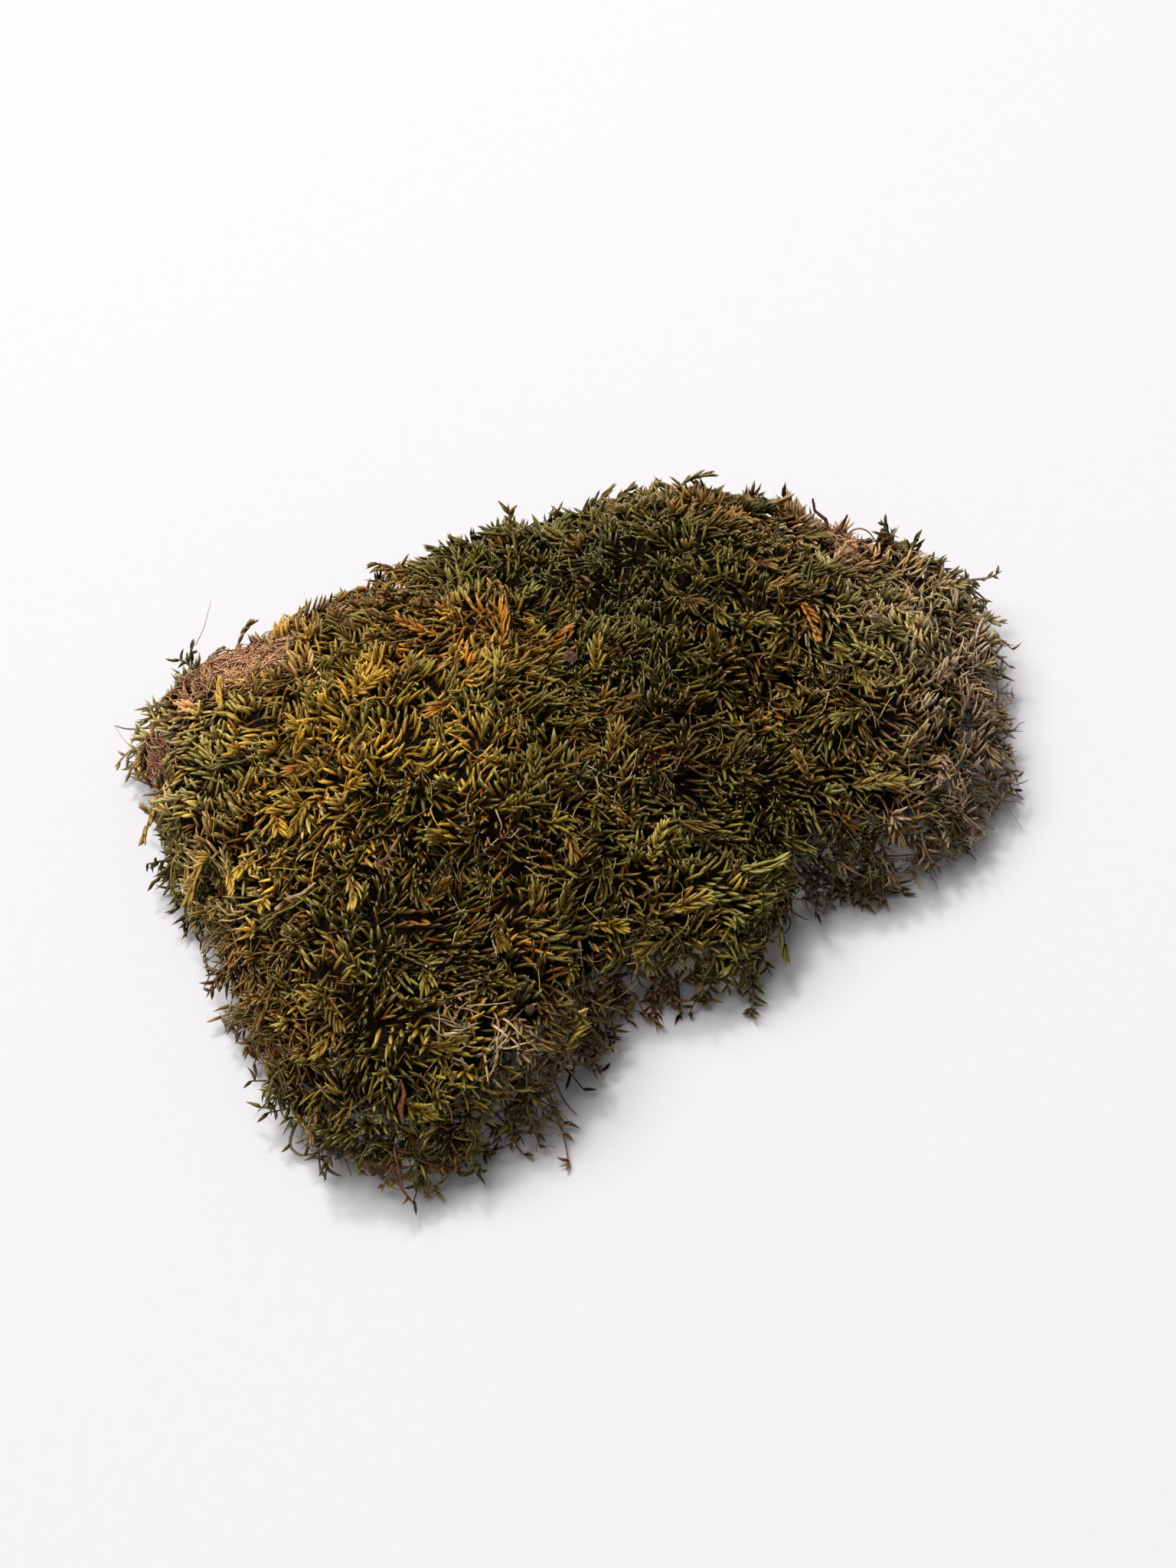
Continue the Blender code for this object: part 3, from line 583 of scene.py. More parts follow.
for start in spread_starts(OLD_SHOOTS, OLD_SHOOT_GAP):
    spot, normal, _, _ = growth_surface.find_nearest(start)
    turned = Matrix.Rotation(dice.uniform(0, 2 * math.pi), 3, normal) @ normal.orthogonal()
    add_shoot("plain", spot - normal * dice.uniform(*OLD_DEPTH), turned + normal * dice.uniform(0, 0.7),
              normal, dice.uniform(*OLD_SIDE), HALF_WIDTH, 0.1, dice.uniform(-0.2, 0.2),
              patch_colour(start, dice) * OLD_LEAF_BROWN_AND_SHADE)


def is_torn_out(place):
    """Whether a place lies in one of the gaps of the torn edge, whose own edge is ragged."""
    return place[2] < TORN_HEIGHT and any(
        math.hypot(place[0] - middle[0], place[1] - middle[1]) < reach * dice.uniform(0.8, 1.1)
        for middle, reach, _ in TORN_GAPS)


shoots = [shoot for shoot in shoots if not is_torn_out(shoot[1])]
stems = [stem for stem in stems if not is_torn_out(stem[0][STEM_STEPS // 2])]


# Strays: stems that have worked loose at the edges, bare and wiry or with a few branchlets left near the
# end. They are still rooted in the clump, and stand out of its rim or over its back.
STRAY_STEPS = 13
STRAY_RADII = {"stem": 0.48, "wire": 0.32, "hair": 0.09}
STRAY_HALF_WIDTH = 0.4
STRAY_SPREAD_DEG = (28, 52)
# Each: its colour, its kind, its route in millimetres, and the length and number of its branchlets.
STRAYS = [
    ("left tip low", "pale olive", "stem", [(-91.7, 17.8, 9), (-98.2, 18.3, 8), (-102.7, 16.3, 4)], 3.5, 2),
    ("left tip middle", "grey", "wire", [(-91.7, 22.8, 11), (-98.7, 22.8, 10), (-103.2, 25.3, 8)], 0, 0),
    ("left tip under", "olive", "stem", [(-87.7, 7.8, 6), (-93.7, 10.3, 6), (-98.7, 12.8, 6)], 0, 0),
    ("back left stem", "green", "stem", [(-79.7, 28.8, 12), (-82.7, 32.8, 17), (-84.7, 33.8, 22),
     (-83.2, 35.8, 26)], 3.2, 3),
    ("back left branch", "green", "stem", [(-82.7, 31.8, 18), (-85.7, 33.3, 21), (-88.7, 34.3, 21)], 3.0, 2),
    ("back upright", "olive", "stem", [(-11.7, 59.8, 26), (-12.7, 63.8, 32), (-13.7, 66.8, 37)], 4, 4),
    ("crest stem", "rust", "wire", [(62.3, 64.8, 18), (65.3, 69.8, 23), (69.3, 69.8, 24),
     (73.3, 67.8, 19)], 0, 0),
    ("crest tuft", "green", "stem", [(76.3, 64.8, 15), (75.3, 69.8, 21), (72.3, 71.8, 26)], 4, 4),
    ("crest right tuft", "green", "stem", [(80.3, 62.8, 13), (80.3, 67.8, 19), (81.8, 68.8, 24)], 4, 3),
    ("right top", "grey", "stem", [(84.3, 60.8, 11), (91.3, 63.3, 13), (98.3, 63.8, 14),
     (101.8, 65.3, 15)], 3, 3),
    ("right upper prong", "mauve", "wire", [(84.3, 56.8, 11), (91.3, 59.8, 12), (96.3, 62.3, 12)], 0, 0),
    ("right pale sprig", "pale olive", "stem", [(88.3, 51.8, 11), (95.3, 52.8, 12), (102.8, 53.3, 10)], 4, 4),
    ("right dark sprig", "grey", "wire", [(90.3, 43.8, 9), (97.3, 46.3, 10), (101.8, 48.3, 10)], 3, 1),
    ("right hanging leaf", "olive", "stem", [(90.3, 20.8, 6), (94.8, 16.8, 4.5), (96.1, 9.8, 2)], 0, 0),
    ("right fork", "black", "wire", [(87.3, 20.8, 7), (94.3, 15.8, 5), (99.8, 12.1, 3),
     (103.1, 9.2, 1)], 4, 2),
    ("right low spray", "mauve", "wire", [(82.3, 17.8, 7), (90.3, 12.3, 5.5), (94.3, 8.8, 3.5),
     (98.3, 5.8, 1.5)], 4.5, 3),
    ("lobe end spray", "tan", "stem", [(78.3, 5.8, 6), (86.3, 0.3, 4), (93.3, -1.2, 2)], 4, 3),
    ("lobe spray", "tan", "stem", [(74.3, 2.8, 6), (77.8, -6.2, 3.5), (75.3, -12.2, 1.5)], 4, 4),
    ("lobe hanging strand", "grey", "wire", [(68.3, 2.8, 7), (69.8, -7.2, 5), (69.1, -13.2, 2),
     (69.9, -17.2, 1), (67.3, -19.8, 0.9)], 4.5, 3),
    ("notch spray", "brown", "wire", [(56.3, 0.8, 8), (59.8, -7.2, 6), (58.7, -12.7, 2),
     (55.8, -18.2, 1)], 4, 3),
    ("notch sprig", "grey", "stem", [(59.3, -0.2, 7), (61.8, -9.2, 4), (65.3, -13.8, 1.5)], 3.5, 2),
    ("front wire", "black", "wire", [(42.3, -15.2, 7), (48.3, -21.7, 4.5), (52.8, -22.7, 1.2)], 0, 0),
    ("front wire bend", "black", "wire", [(42.3, -19.2, 6), (48.3, -23.2, 3.5), (47.3, -26.6, 2.5),
     (44.3, -27.7, 2.5)], 0, 0),
    ("front leafy sprig", "green", "stem", [(38.3, -26.2, 7), (39.6, -35.2, 4.5), (39.8, -43.2, 1.5),
     (38.3, -47.2, 1)], 3.5, 6),
    ("front left sprig", "green", "stem", [(30.3, -29.2, 7), (30.8, -39.2, 4), (28.6, -44.8, 1.2)], 3.2, 6),
    ("wiry strand", "brown", "wire", [(-0.7, -41.2, 7), (7.3, -44.4, 5), (14.1, -45.6, 2.5),
     (18.3, -46.8, 1.5), (19.3, -50.7, 1)], 4, 3),
    ("wiry hook", "grey", "wire", [(13.3, -33.2, 7), (15.8, -40.6, 4.6), (20.3, -42.2, 3),
     (19.3, -45, 1.5)], 3, 1),
    ("orange sprig", "orange", "stem", [(1.3, -43.2, 7), (3.6, -50.2, 4), (4.2, -55.7, 1)], 3.2, 4),
    ("thin strand", "black", "wire", [(3.3, -44.2, 5), (5.5, -53.2, 2.5), (6.9, -59.2, 1)], 0, 0),
    ("long strand", "brown", "wire", [(-6.7, -55.2, 7), (-3.7, -65.2, 3.5), (-1.5, -70.8, 2),
     (0.5, -79.8, 1), (-1.5, -81.5, 1)], 3.5, 2),
    ("black strand", "black", "wire", [(-5.7, -55.2, 7), (-2.2, -63.4, 4), (-0.1, -67.2, 2),
     (2.5, -69.8, 1)], 0, 0),
    ("green leafy strand", "green", "wire", [(-12.7, -59.2, 7), (-11.1, -70.2, 3), (-10.2, -76.8, 1.5),
     (-6.2, -80.4, 1.2)], 3.5, 2),
    ("comb", "green", "stem", [(-25.7, -71.2, 6), (-18.7, -77.5, 3.5), (-14.9, -80.2, 1.2)], 3, 3),
    ("bottom strand", "olive", "wire", [(-27.7, -72.2, 6), (-28.7, -82.2, 3), (-28.9, -85.4, 2),
     (-27.9, -89.2, 1)], 3.5, 3),
    ("bottom hook", "olive", "wire", [(-24.7, -73.2, 6), (-23.5, -83.2, 3), (-26, -86, 2),
     (-25.7, -88.2, 1)], 3, 2),
    ("bottom left curl", "grey", "wire", [(-34.7, -74.2, 6), (-33.3, -82.2, 3), (-33.9, -85.2, 1)], 0, 0),
    ("left foot curl", "green", "stem", [(-49.7, -67.2, 8), (-54.7, -72.7, 5), (-56.3, -77.2, 3),
     (-54.2, -79.2, 2), (-51.3, -78.7, 1.5)], 2.5, 1),
    ("front left arc", "olive", "stem", [(-47.7, -69.2, 6), (-49.7, -76.2, 4), (-45.7, -78.2, 3),
     (-40.7, -78.2, 3)], 3, 3),
    ("left thin strand", "tan", "wire", [(-65.7, -33.2, 12), (-73.7, -37.5, 8.5), (-77.5, -41.2, 3)], 0, 0),
    ("left dried spray", "tan", "stem", [(-61.7, -43.2, 7), (-69.7, -47, 5), (-72.7, -48.2, 3),
     (-68.2, -52.2, 1.2)], 3.5, 2),
    ("left low spray", "grey", "wire", [(-57.7, -51.2, 7), (-63.7, -56.4, 4), (-65.7, -59, 1.5)], 3, 1),
    ("back left thread", "grey", "hair", [(-83.2, 35, 25), (-81.2, 37.5, 28), (-79.7, 40, 32),
     (-79, 41, 34)], 0, 0),
    ("left tip thread", "grey", "hair", [(-96, 16, 9), (-100, 20, 10), (-103, 25, 9)], 0, 0),
    ("right thread", "black", "hair", [(92, 24, 9), (98, 19, 7), (102, 14, 5)], 0, 0),
    ("right low thread", "black", "hair", [(90, 12, 6), (97, 7, 5), (102, 0, 2)], 0, 0),
]

strays = []
for name, colour, kind, route, side_length, count in STRAYS:
    points = smooth_route(route, STRAY_STEPS)
    tint = COLOURS[colour]
    strays.append((points, STRAY_RADII[kind], 0.45 * tint + 0.25 * COLOURS["mauve"]))
    for k in range(2 * count):
        at = int((1 - 0.6 * (k + dice.random()) / (2 * count)) * (STRAY_STEPS - 2))
        direction = (points[at + 1] - points[at]).normalized()
        side = direction.cross(Vector((0, 0, 1))).normalized() * (1 if k % 2 else -1)
        angle = math.radians(dice.uniform(*STRAY_SPREAD_DEG))
        heading = direction * math.cos(angle) + side * math.sin(angle)
        heading = heading + Vector((0, 0, dice.uniform(-0.1, 0.35)))
        add_shoot("round", points[at], heading, Vector((0.1, 0, 1)), side_length * dice.uniform(0.5, 1.05),
                  STRAY_HALF_WIDTH, dice.uniform(-0.1, 0.2), dice.uniform(-0.5, 0.5),
                  tint * dice.uniform(0.7, 1.15))


# Hanging sprigs: at the torn edges the outermost stems have come apart and hang out singly, with short
# branchlets and daylight between them. Each edge: its middle in millimetres, reach, number, lengths, colours.
TORN_EDGES = [
    ("lobe low edge", (92, 4), 12, 22, (6, 11), ["mauve", "grey", "dull olive"]),
    ("lobe foot", (74, -10), 12, 15, (7, 12), ["dull olive", "black", "grey"]),
    ("notch", (58, -14), 10, 13, (7, 12), ["grey", "green", "black"]),
    ("front right", (34, -38), 10, 8, (5, 9), ["green", "dull olive"]),
    ("front", (15, -42), 10, 10, (6, 10), ["brown", "black"]),
    ("tongue right high", (4, -54), 8, 9, (6, 10), ["grey", "dull olive", "black"]),
    ("tongue right", (-4, -68), 9, 10, (6, 12), ["grey", "black", "dull olive"]),
    ("tongue foot right", (-14, -78), 9, 12, (5, 10), ["green", "moss olive", "black"]),
    ("tongue foot", (-30, -84), 10, 14, (5, 10), ["green", "moss olive", "brown"]),
    ("tongue left", (-52, -76), 12, 16, (5, 10), ["green", "grey", "moss olive"]),
    ("left flank foot", (-72, -42), 16, 14, (4, 8), ["brown", "tan"]),
    ("left flank", (-82, -18), 12, 26, (5, 9), ["olive", "dull olive", "green"]),
    ("left tip", (-93, 20), 8, 22, (5, 9), ["pale olive", "olive", "grey"]),
    ("right edge", (98, 32), 16, 18, (5, 9), ["mauve", "grey", "tan"]),
    ("right top", (84, 64), 12, 22, (6, 10), ["green", "grey", "tan"]),
    ("back edge", (-10, 70), 22, 18, (5, 8), ["olive", "dull olive", "green"]),
    ("crest", (30, 80), 26, 12, (5, 8), ["olive", "green", "dull olive"]),
]
HANGING_ROOT = (1.0, 7.0)     # how far inside the rim the hanging stems are rooted
HANGING_RADIUS = (0.3, 0.55)
HANGING_LEAFINESS = 0.55

for name, middle, reach, count, lengths, hues in TORN_EDGES:
    rim = [face for face in growth_faces if 1.5 < face[0].z < 14 and -0.6 < face[1].z < 0.8
           and math.hypot(face[0].x - middle[0], face[0].y - middle[1]) < reach]
    for face in dice.choices(rim, [face[2] for face in rim], k=count):
        outward = Vector((face[1].x, face[1].y, 0)).normalized()
        root = dice.uniform(*HANGING_ROOT)
        start = face[0] - outward * root + Vector((0, 0, 0.25 * root))
        turn = Matrix.Rotation(dice.uniform(-0.6, 0.6), 3, "Z")
        heading = turn @ (outward + Vector((0, 0, dice.uniform(-0.3, 0.1))))
        length = root + dice.uniform(*lengths) * 0.7
        sideways = heading.cross(Vector((0, 0, 1))).normalized() * dice.uniform(-0.4, 0.4) * length
        droop = Vector((0, 0, -min(0.3 * length, max(0.0, start.z - 1.5))))
        elbow = start + heading * length * 0.55
        route = smooth_route([start, elbow, start + heading * length + sideways + droop], STRAY_STEPS)
        tint = COLOURS[dice.choice(hues)] * dice.uniform(0.5, 1.0)
        strays.append((route, dice.uniform(*HANGING_RADIUS), 0.8 * tint))
        for k in range(3, STRAY_STEPS):
            if dice.random() < HANGING_LEAFINESS:
                direction = (route[k] - route[k - 1]).normalized()
                side = direction.cross(Vector((0, 0, 1))).normalized() * (1 if k % 2 else -1)
                side = Matrix.Rotation(dice.uniform(-0.8, 0.8), 3, direction) @ side
                add_shoot("plain", route[k - 1], direction * dice.uniform(0.6, 1.2) + side,
                          Vector((0.1, 0, 1)), dice.uniform(2.5, 5.0) * (1.1 - 0.4 * k / STRAY_STEPS),
                          dice.uniform(0.34, 0.5), dice.uniform(-0.35, 0.35), dice.uniform(-0.7, 0.7),
                          tint * dice.uniform(0.75, 1.25))


# The shoots are joined into one piece for each part of the clump. Such a piece is built as arrays, with a
# colour and a cell of the map for each of its small parts, and how far along its part each point is.
PARTS_OF_CLUMP = [
    ("shoots_left_shoulder", (-72, 8)),
    ("shoots_crown", (-28, -8)),
    ("shoots_back_crest", (4, 58)),
    ("shoots_right_crest", (54, 52)),
    ("shoots_right_lobe", (78, 12)),
    ("shoots_middle", (26, 4)),
    ("shoots_front_slope", (10, -38)),
    ("shoots_front_tongue", (-42, -58)),
]
CELL_MARGIN = 0.08
LITTER_ROOM = 0.6
BARE_SHARE = 0.85
# Where the moss has died back to shreds: middle in millimetres, and reach.
BARE_SPOTS = [((-73, 27), 8.0), ((-89, 8), 5.0), ((-90, 18), 3.0), ((63, 66), 4.0)]
LITTER_CLEARANCE = (0.0, 1.2, 2.4, 3.6)     # heights over the litter at which no shoot may cross it


def shoot_blocks(members):
    """Points, triangles, map corners, lengthwise shares and colours of the shoots, for each form."""
    blocks = []
    for form, (points, triangles, corners) in FORMS.items():
        rows = [shoot for shoot in members if shoot[0] == form]
        if rows:
            base, heading, up = (np.array([row[k] for row in rows]) for k in (1, 2, 3))
            length, width, bend, sway = (np.array([row[k] for row in rows])[:, None] for k in (4, 5, 6, 7))
            side = np.cross(up, heading)
            x, y, z = points.T
            rise = bend * length * x * x + z * width
            aside = sway * length * x * x + y * width
            places = (base[:, None] + heading[:, None] * (x * length)[..., None]
                      + up[:, None] * rise[..., None] + side[:, None] * aside[..., None])
            blocks.append((places, triangles, corners, x, np.array([row[8] for row in rows])))
    return blocks


def strand_block(rows, sides):
    """The same of strands (route, radius, colour): closed tubes that thin to a point at their ends."""
    routes = np.array([[tuple(point) for point in row[0]] for row in rows])
    radii = np.array([row[1] for row in rows])[:, None, None]
    steps = routes.shape[1]
    ways = np.gradient(routes, axis=1)
    ways /= np.linalg.norm(ways, axis=2, keepdims=True)
    across = np.cross(ways[:, 0], (0.31, 0.22, 0.92))
    turns = 2 * np.pi * np.arange(sides)[:, None] / sides
    shares = np.linspace(0, 1, steps)
    rings = []
    for k in range(steps - 1):
        across -= ways[:, k] * (across * ways[:, k]).sum(1, keepdims=True)
        across /= np.linalg.norm(across, axis=1, keepdims=True)
        other = np.cross(ways[:, k], across)
        ring = across[:, None] * np.cos(turns) + other[:, None] * np.sin(turns)
        rings.append(routes[:, k, None] + radii * (1 - 0.6 * shares[k]) * ring)
    tip = sides * (steps - 1)
    triangles, corners = [], []
    for k in range(steps - 1):
        for s in range(sides):
            a, b = sides * k + s, sides * k + (s + 1) % sides
            left, right, low, high = s / sides, (s + 1) / sides, shares[k], shares[k + 1]
            if k < steps - 2:
                triangles += [(a, b, a + sides), (b, b + sides, a + sides)]
                corners += [[(left, low), (right, low), (left, high)],
                            [(right, low), (right, high), (left, high)]]
            else:
                triangles.append((a, b, tip))
                corners.append([(left, low), (right, low), ((left + right) / 2, high)])
    for s in range(1, sides - 1):
        triangles.append((0, s + 1, s))
        corners.append([(0.5, 0.0), (0.6, 0.0), (0.55, 0.02)])
    along = np.append(np.repeat(shares[:-1], sides), 1.0)
    points = np.concatenate(rings + [routes[:, -1:]], axis=1)
    return points, np.array(triangles), np.array(corners), along, np.array([row[2] for row in rows])


def build_piece(name, blocks):
    """One mesh of many small parts, each part with its own cell of the map."""
    all_points, all_triangles, all_tints, all_along, all_map = [], [], [], [], []
    grid = math.ceil(math.sqrt(sum(len(block[0]) for block in blocks)))
    cell = 0
    first = 0
    for points, triangles, corners, along, tints in blocks:
        count, size, _ = points.shape
        offsets = first + size * np.arange(count)
        all_points.append(points.reshape(-1, 3))
        all_triangles.append((triangles[None] + offsets[:, None, None]).reshape(-1, 3))
        all_tints.append(np.repeat(tints, size, axis=0))
        all_along.append(np.tile(along, count))
        cells = np.arange(cell, cell + count)
        corner = np.stack([cells % grid, cells // grid], axis=1)[:, None, None]
        all_map.append(((corner + CELL_MARGIN + corners[None] * (1 - 2 * CELL_MARGIN)) / grid).reshape(-1, 2))
        first += size * count
        cell += count
    points, triangles = np.concatenate(all_points), np.concatenate(all_triangles)
    points[:, 2] = np.maximum(points[:, 2], LEAST_HEIGHT + 0.02 * np.arange(len(points)) % 0.1)
    mesh = bpy.data.meshes.new(name)
    mesh.vertices.add(len(points))
    mesh.vertices.foreach_set("co", (points * MM).astype(np.float32).ravel())
    mesh.loops.add(3 * len(triangles))
    mesh.loops.foreach_set("vertex_index", triangles.astype(np.int32).ravel())
    mesh.polygons.add(len(triangles))
    mesh.polygons.foreach_set("loop_start", 3 * np.arange(len(triangles), dtype=np.int32))
    mesh.update(calc_edges=True)
    tints = np.concatenate([np.concatenate(all_tints), np.ones((len(points), 1))], axis=1)
    along = np.concatenate(all_along)
    corners = np.concatenate(all_map)
    tint_data = mesh.attributes.new("tint", "FLOAT_COLOR", "POINT").data
    tint_data.foreach_set("color", tints.astype(np.float32).ravel())
    along_data = mesh.attributes.new("along", "FLOAT", "POINT").data
    along_data.foreach_set("value", along.astype(np.float32))
    mesh.uv_layers.new(name="OFBake").data.foreach_set("uv", corners.astype(np.float32).ravel())
    mesh.shade_smooth()
    return link(name, mesh)


# Leaves of the moss: thin, slightly waxy and a little see-through, which gives a soft gloss. Each shoot is
# darker and browner at its foot, partly its older tissue and partly painted shade where the shoots crowd, has
# a seam where each whorl of leaves ends, and is paler at its point, partly its own pale tip and partly a
# painted highlight that stands in for glints.
WHORLS = 6
material, tree, shader = new_material("moss leaves", Specular_IOR_Level=0.23,
                                      Specular_Tint=linear("#f8dd92"))
where = add_node(tree, "ShaderNodeTexCoord")
tint = add_node(tree, "ShaderNodeAttribute", settings={"attribute_name": "tint"})
along = add_node(tree, "ShaderNodeAttribute", settings={"attribute_name": "along"})
# Painted shade: the foot of each shoot is darkened towards near black, over the browner colour of its older
# base.
shade = add_node(tree, "ShaderNodeValToRGB", links={"Fac": along.outputs["Fac"]},
                 stops=[(0.06, (0.20, 0.075, 0.01, 1)), (0.65, (1.0, 1.0, 1.0, 1))])
shaded = add_node(tree, "ShaderNodeMix", settings={"data_type": "RGBA", "blend_type": "MULTIPLY"},
                  values={0: 1.0}, links={6: tint.outputs["Color"], 7: shade.outputs["Color"]})
mottle = add_node(tree, "ShaderNodeTexNoise", values={"Scale": 1 / (0.5 * MM), "Detail": 3.0},
                  links={"Vector": where.outputs["Object"]})
speckle = add_node(tree, "ShaderNodeValToRGB", links={"Fac": mottle.outputs["Fac"]},
                   stops=[(0.3, (0.62, 0.6, 0.5, 1)), (0.7, (1.25, 1.22, 1.1, 1))])
mottled = add_node(tree, "ShaderNodeMix", settings={"data_type": "RGBA", "blend_type": "MULTIPLY"},
                   values={0: 0.8}, links={6: shaded.outputs[2], 7: speckle.outputs["Color"]})
# Pale tip mixed towards a light yellow: partly the tips' own paler colour, partly a painted highlight
# standing in for glints.
pale_tip_and_glint = add_node(tree, "ShaderNodeMapRange", links={"Value": along.outputs["Fac"]},
                  values={"From Min": 0.76, "From Max": 1.0, "To Min": 0.0, "To Max": 0.38})
leaf_colour = add_node(tree, "ShaderNodeMix", settings={"data_type": "RGBA"},
                       values={7: linear("#cfc694")}, links={0: pale_tip_and_glint.outputs[0], 6: mottled.outputs[2]})
tree.links.new(leaf_colour.outputs[2], shader.inputs["Base Color"])
whorl = add_node(tree, "ShaderNodeMath", settings={"operation": "MULTIPLY"}, values={1: WHORLS * 2 * math.pi},
                 links={0: along.outputs["Fac"]})
seam = add_node(tree, "ShaderNodeMath", settings={"operation": "SINE"}, links={0: whorl.outputs[0]})
height = add_node(tree, "ShaderNodeMath", settings={"operation": "MULTIPLY_ADD"}, values={1: 0.12},
                  links={0: seam.outputs[0], 2: mottle.outputs["Fac"]})
relief = add_node(tree, "ShaderNodeBump", values={"Strength": 0.4, "Distance": 0.08 * MM},
                  links={"Height": height.outputs[0]})
tree.links.new(relief.outputs["Normal"], shader.inputs["Normal"])
gloss = add_node(tree, "ShaderNodeMapRange", links={"Value": mottle.outputs["Fac"]},
                 values={"From Min": 0.35, "From Max": 0.65, "To Min": 0.38, "To Max": 0.18})
tree.links.new(gloss.outputs[0], shader.inputs["Roughness"])
leaf_material = material

litter_points = [vert.co / MM for name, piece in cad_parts.items() if name != "moss_cushion"
                 for vert in piece.data.vertices]
litter = KDTree(len(LITTER_CLEARANCE) * len(litter_points))
for point in litter_points:
    for rise in LITTER_CLEARANCE:
        litter.insert(point + Vector((0, 0, rise)), 0)
litter.balance()


def is_kept(shoot):
    """Whether a shoot leaves the litter on the moss uncovered, and isn't one of those that died back."""
    base, heading, length = Vector(shoot[1]), Vector(shoot[2]), shoot[4]
    bare = any(math.hypot(base.x - x, base.y - y) < reach for (x, y), reach in BARE_SPOTS)
    if bare and dice.random() < BARE_SHARE:
        return False
    return all(litter.find(base + heading * length * share)[2] > LITTER_ROOM for share in (0.3, 0.65, 1.0))


members = {name: [] for name, _ in PARTS_OF_CLUMP}
for shoot in filter(is_kept, shoots):
    nearest = min(PARTS_OF_CLUMP,
                  key=lambda part: math.hypot(part[1][0] - shoot[1][0], part[1][1] - shoot[1][1]))
    members[nearest[0]].append(shoot)
for name, rows in members.items():
    piece = build_piece(name, shoot_blocks(rows))
    piece.data.materials.append(leaf_material)
    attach(piece, "root")
    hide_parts("moss_cushion")


# Dry strands: dead shoots and torn stems that curl out between the living ones, thickest where the rim has
# died back.
STRAND_STEPS = 8
# Each tuft: its middle in millimetres, reach, number, lengths, radius, how far they curl, and colour.
TUFTS = [
    ("left dead patch", (-72, 27), 9, 300, (5, 10), 0.24, 2.4, "pink"),
    ("left dead rim", (-80, 24), 7, 90, (5, 10), 0.26, 1.6, "rust"),
    ("left knot", (-88, 7), 3.5, 120, (3, 6), 0.24, 2.8, "rust"),
    ("left dead edge", (-65, 18), 6, 50, (5, 9), 0.2, 2.0, "brown"),
    ("crest shreds", (63, 66), 5, 70, (4, 8), 0.2, 2.4, "pink"),
    ("right edge", (94, 30), 9, 70, (4, 8), 0.18, 3.0, "mauve"),
    ("right low edge", (89, 2), 8, 90, (4, 7), 0.18, 3.2, "mauve"),
    ("right top", (78, 56), 12, 50, (5, 10), 0.17, 2.0, "tan"),
    ("notch", (57, -13), 9, 60, (6, 12), 0.14, 1.6, "black"),
    ("right lobe", (66, 22), 18, 60, (5, 10), 0.19, 2.4, "tan"),
    ("middle", (6, 4), 30, 70, (5, 12), 0.18, 2.4, "brown"),
    ("left", (-50, 0), 30, 70, (5, 10), 0.19, 2.4, "gold"),
    ("front slope", (0, -30), 26, 60, (5, 11), 0.18, 2.2, "tan"),
    ("tongue right", (-3, -66), 7, 50, (5, 9), 0.2, 2.2, "grey"),
    ("tongue strands", (-19, -62), 8, 40, (6, 11), 0.32, 1.8, "tan"),
    ("tongue foot left", (-58, -62), 9, 80, (6, 12), 0.18, 2.2, "brown"),
    ("tongue foot", (-40, -78), 9, 60, (5, 12), 0.17, 2.4, "black"),
    ("all over", (0, 0), 80, 220, (4, 10), 0.16, 2.4, "olive"),
]
LYING_SHARE = 0.5
LYING_HEIGHT = (-1.2, 0.9)
STRAND_ROOT = (-1.8, 0.4)
STRAND_LEAST_HEIGHT = 0.6
WANDER = 0.16
strands = []


def curled_route(start, heading, length, curl, lying=0.0, height=0.0):
    """Route of a strand that winds round an axis of its own and wanders a little, laid on the moss or not."""
    axis = Vector([dice.gauss(0, 1) for _ in range(3)]).normalized()
    route = [start.copy()]
    for _ in range(STRAND_STEPS - 1):
        wander = Vector([dice.gauss(0, WANDER) for _ in range(3)])
        heading = (Matrix.Rotation(curl / STRAND_STEPS, 3, axis) @ heading + wander).normalized()
        place = route[-1] + heading * length / (STRAND_STEPS - 1)
        if lying:
            spot, normal, _, _ = growth_surface.find_nearest(place)
            place = place.lerp(spot + normal * height, lying)
        place.z = max(place.z, STRAND_LEAST_HEIGHT)
        route.append(place)
    return route


for name, middle, reach, count, lengths, radius, curl, colour in TUFTS:
    faces = [face for face in growth_faces if face[0].z > 1.2 and face[1].z > -0.6
             and math.hypot(face[0].x - middle[0], face[0].y - middle[1]) < reach]
    for face in dice.choices(faces, [face[2] for face in faces], k=count):
        turned = Matrix.Rotation(dice.uniform(0, 2 * math.pi), 3, face[1]) @ face[1].orthogonal().normalized()
        heading = turned + lie_of_moss(face[0]) * 0.6 + face[1] * dice.uniform(0.0, 0.6)
        start = face[0] + face[1] * dice.uniform(*STRAND_ROOT)
        route = curled_route(start, heading.normalized(), dice.uniform(*lengths), dice.uniform(-curl, curl),
                             LYING_SHARE, dice.uniform(*LYING_HEIGHT))
        strands.append((route, radius * dice.uniform(0.75, 1.25), COLOURS[colour] * dice.uniform(0.6, 1.5)))


# Wiry stems: the leafless ends of dead shoots at the torn edges, forked into a dark lace. They are thin and
# stiff, and still rooted in the clump.
LACE_RADIUS = 0.26
LACE_COLOUR = 0.45 * (COLOURS["mauve"] + COLOURS["black"])
LACE_TURNS = (-0.7, -0.25, 0.25, 0.7)
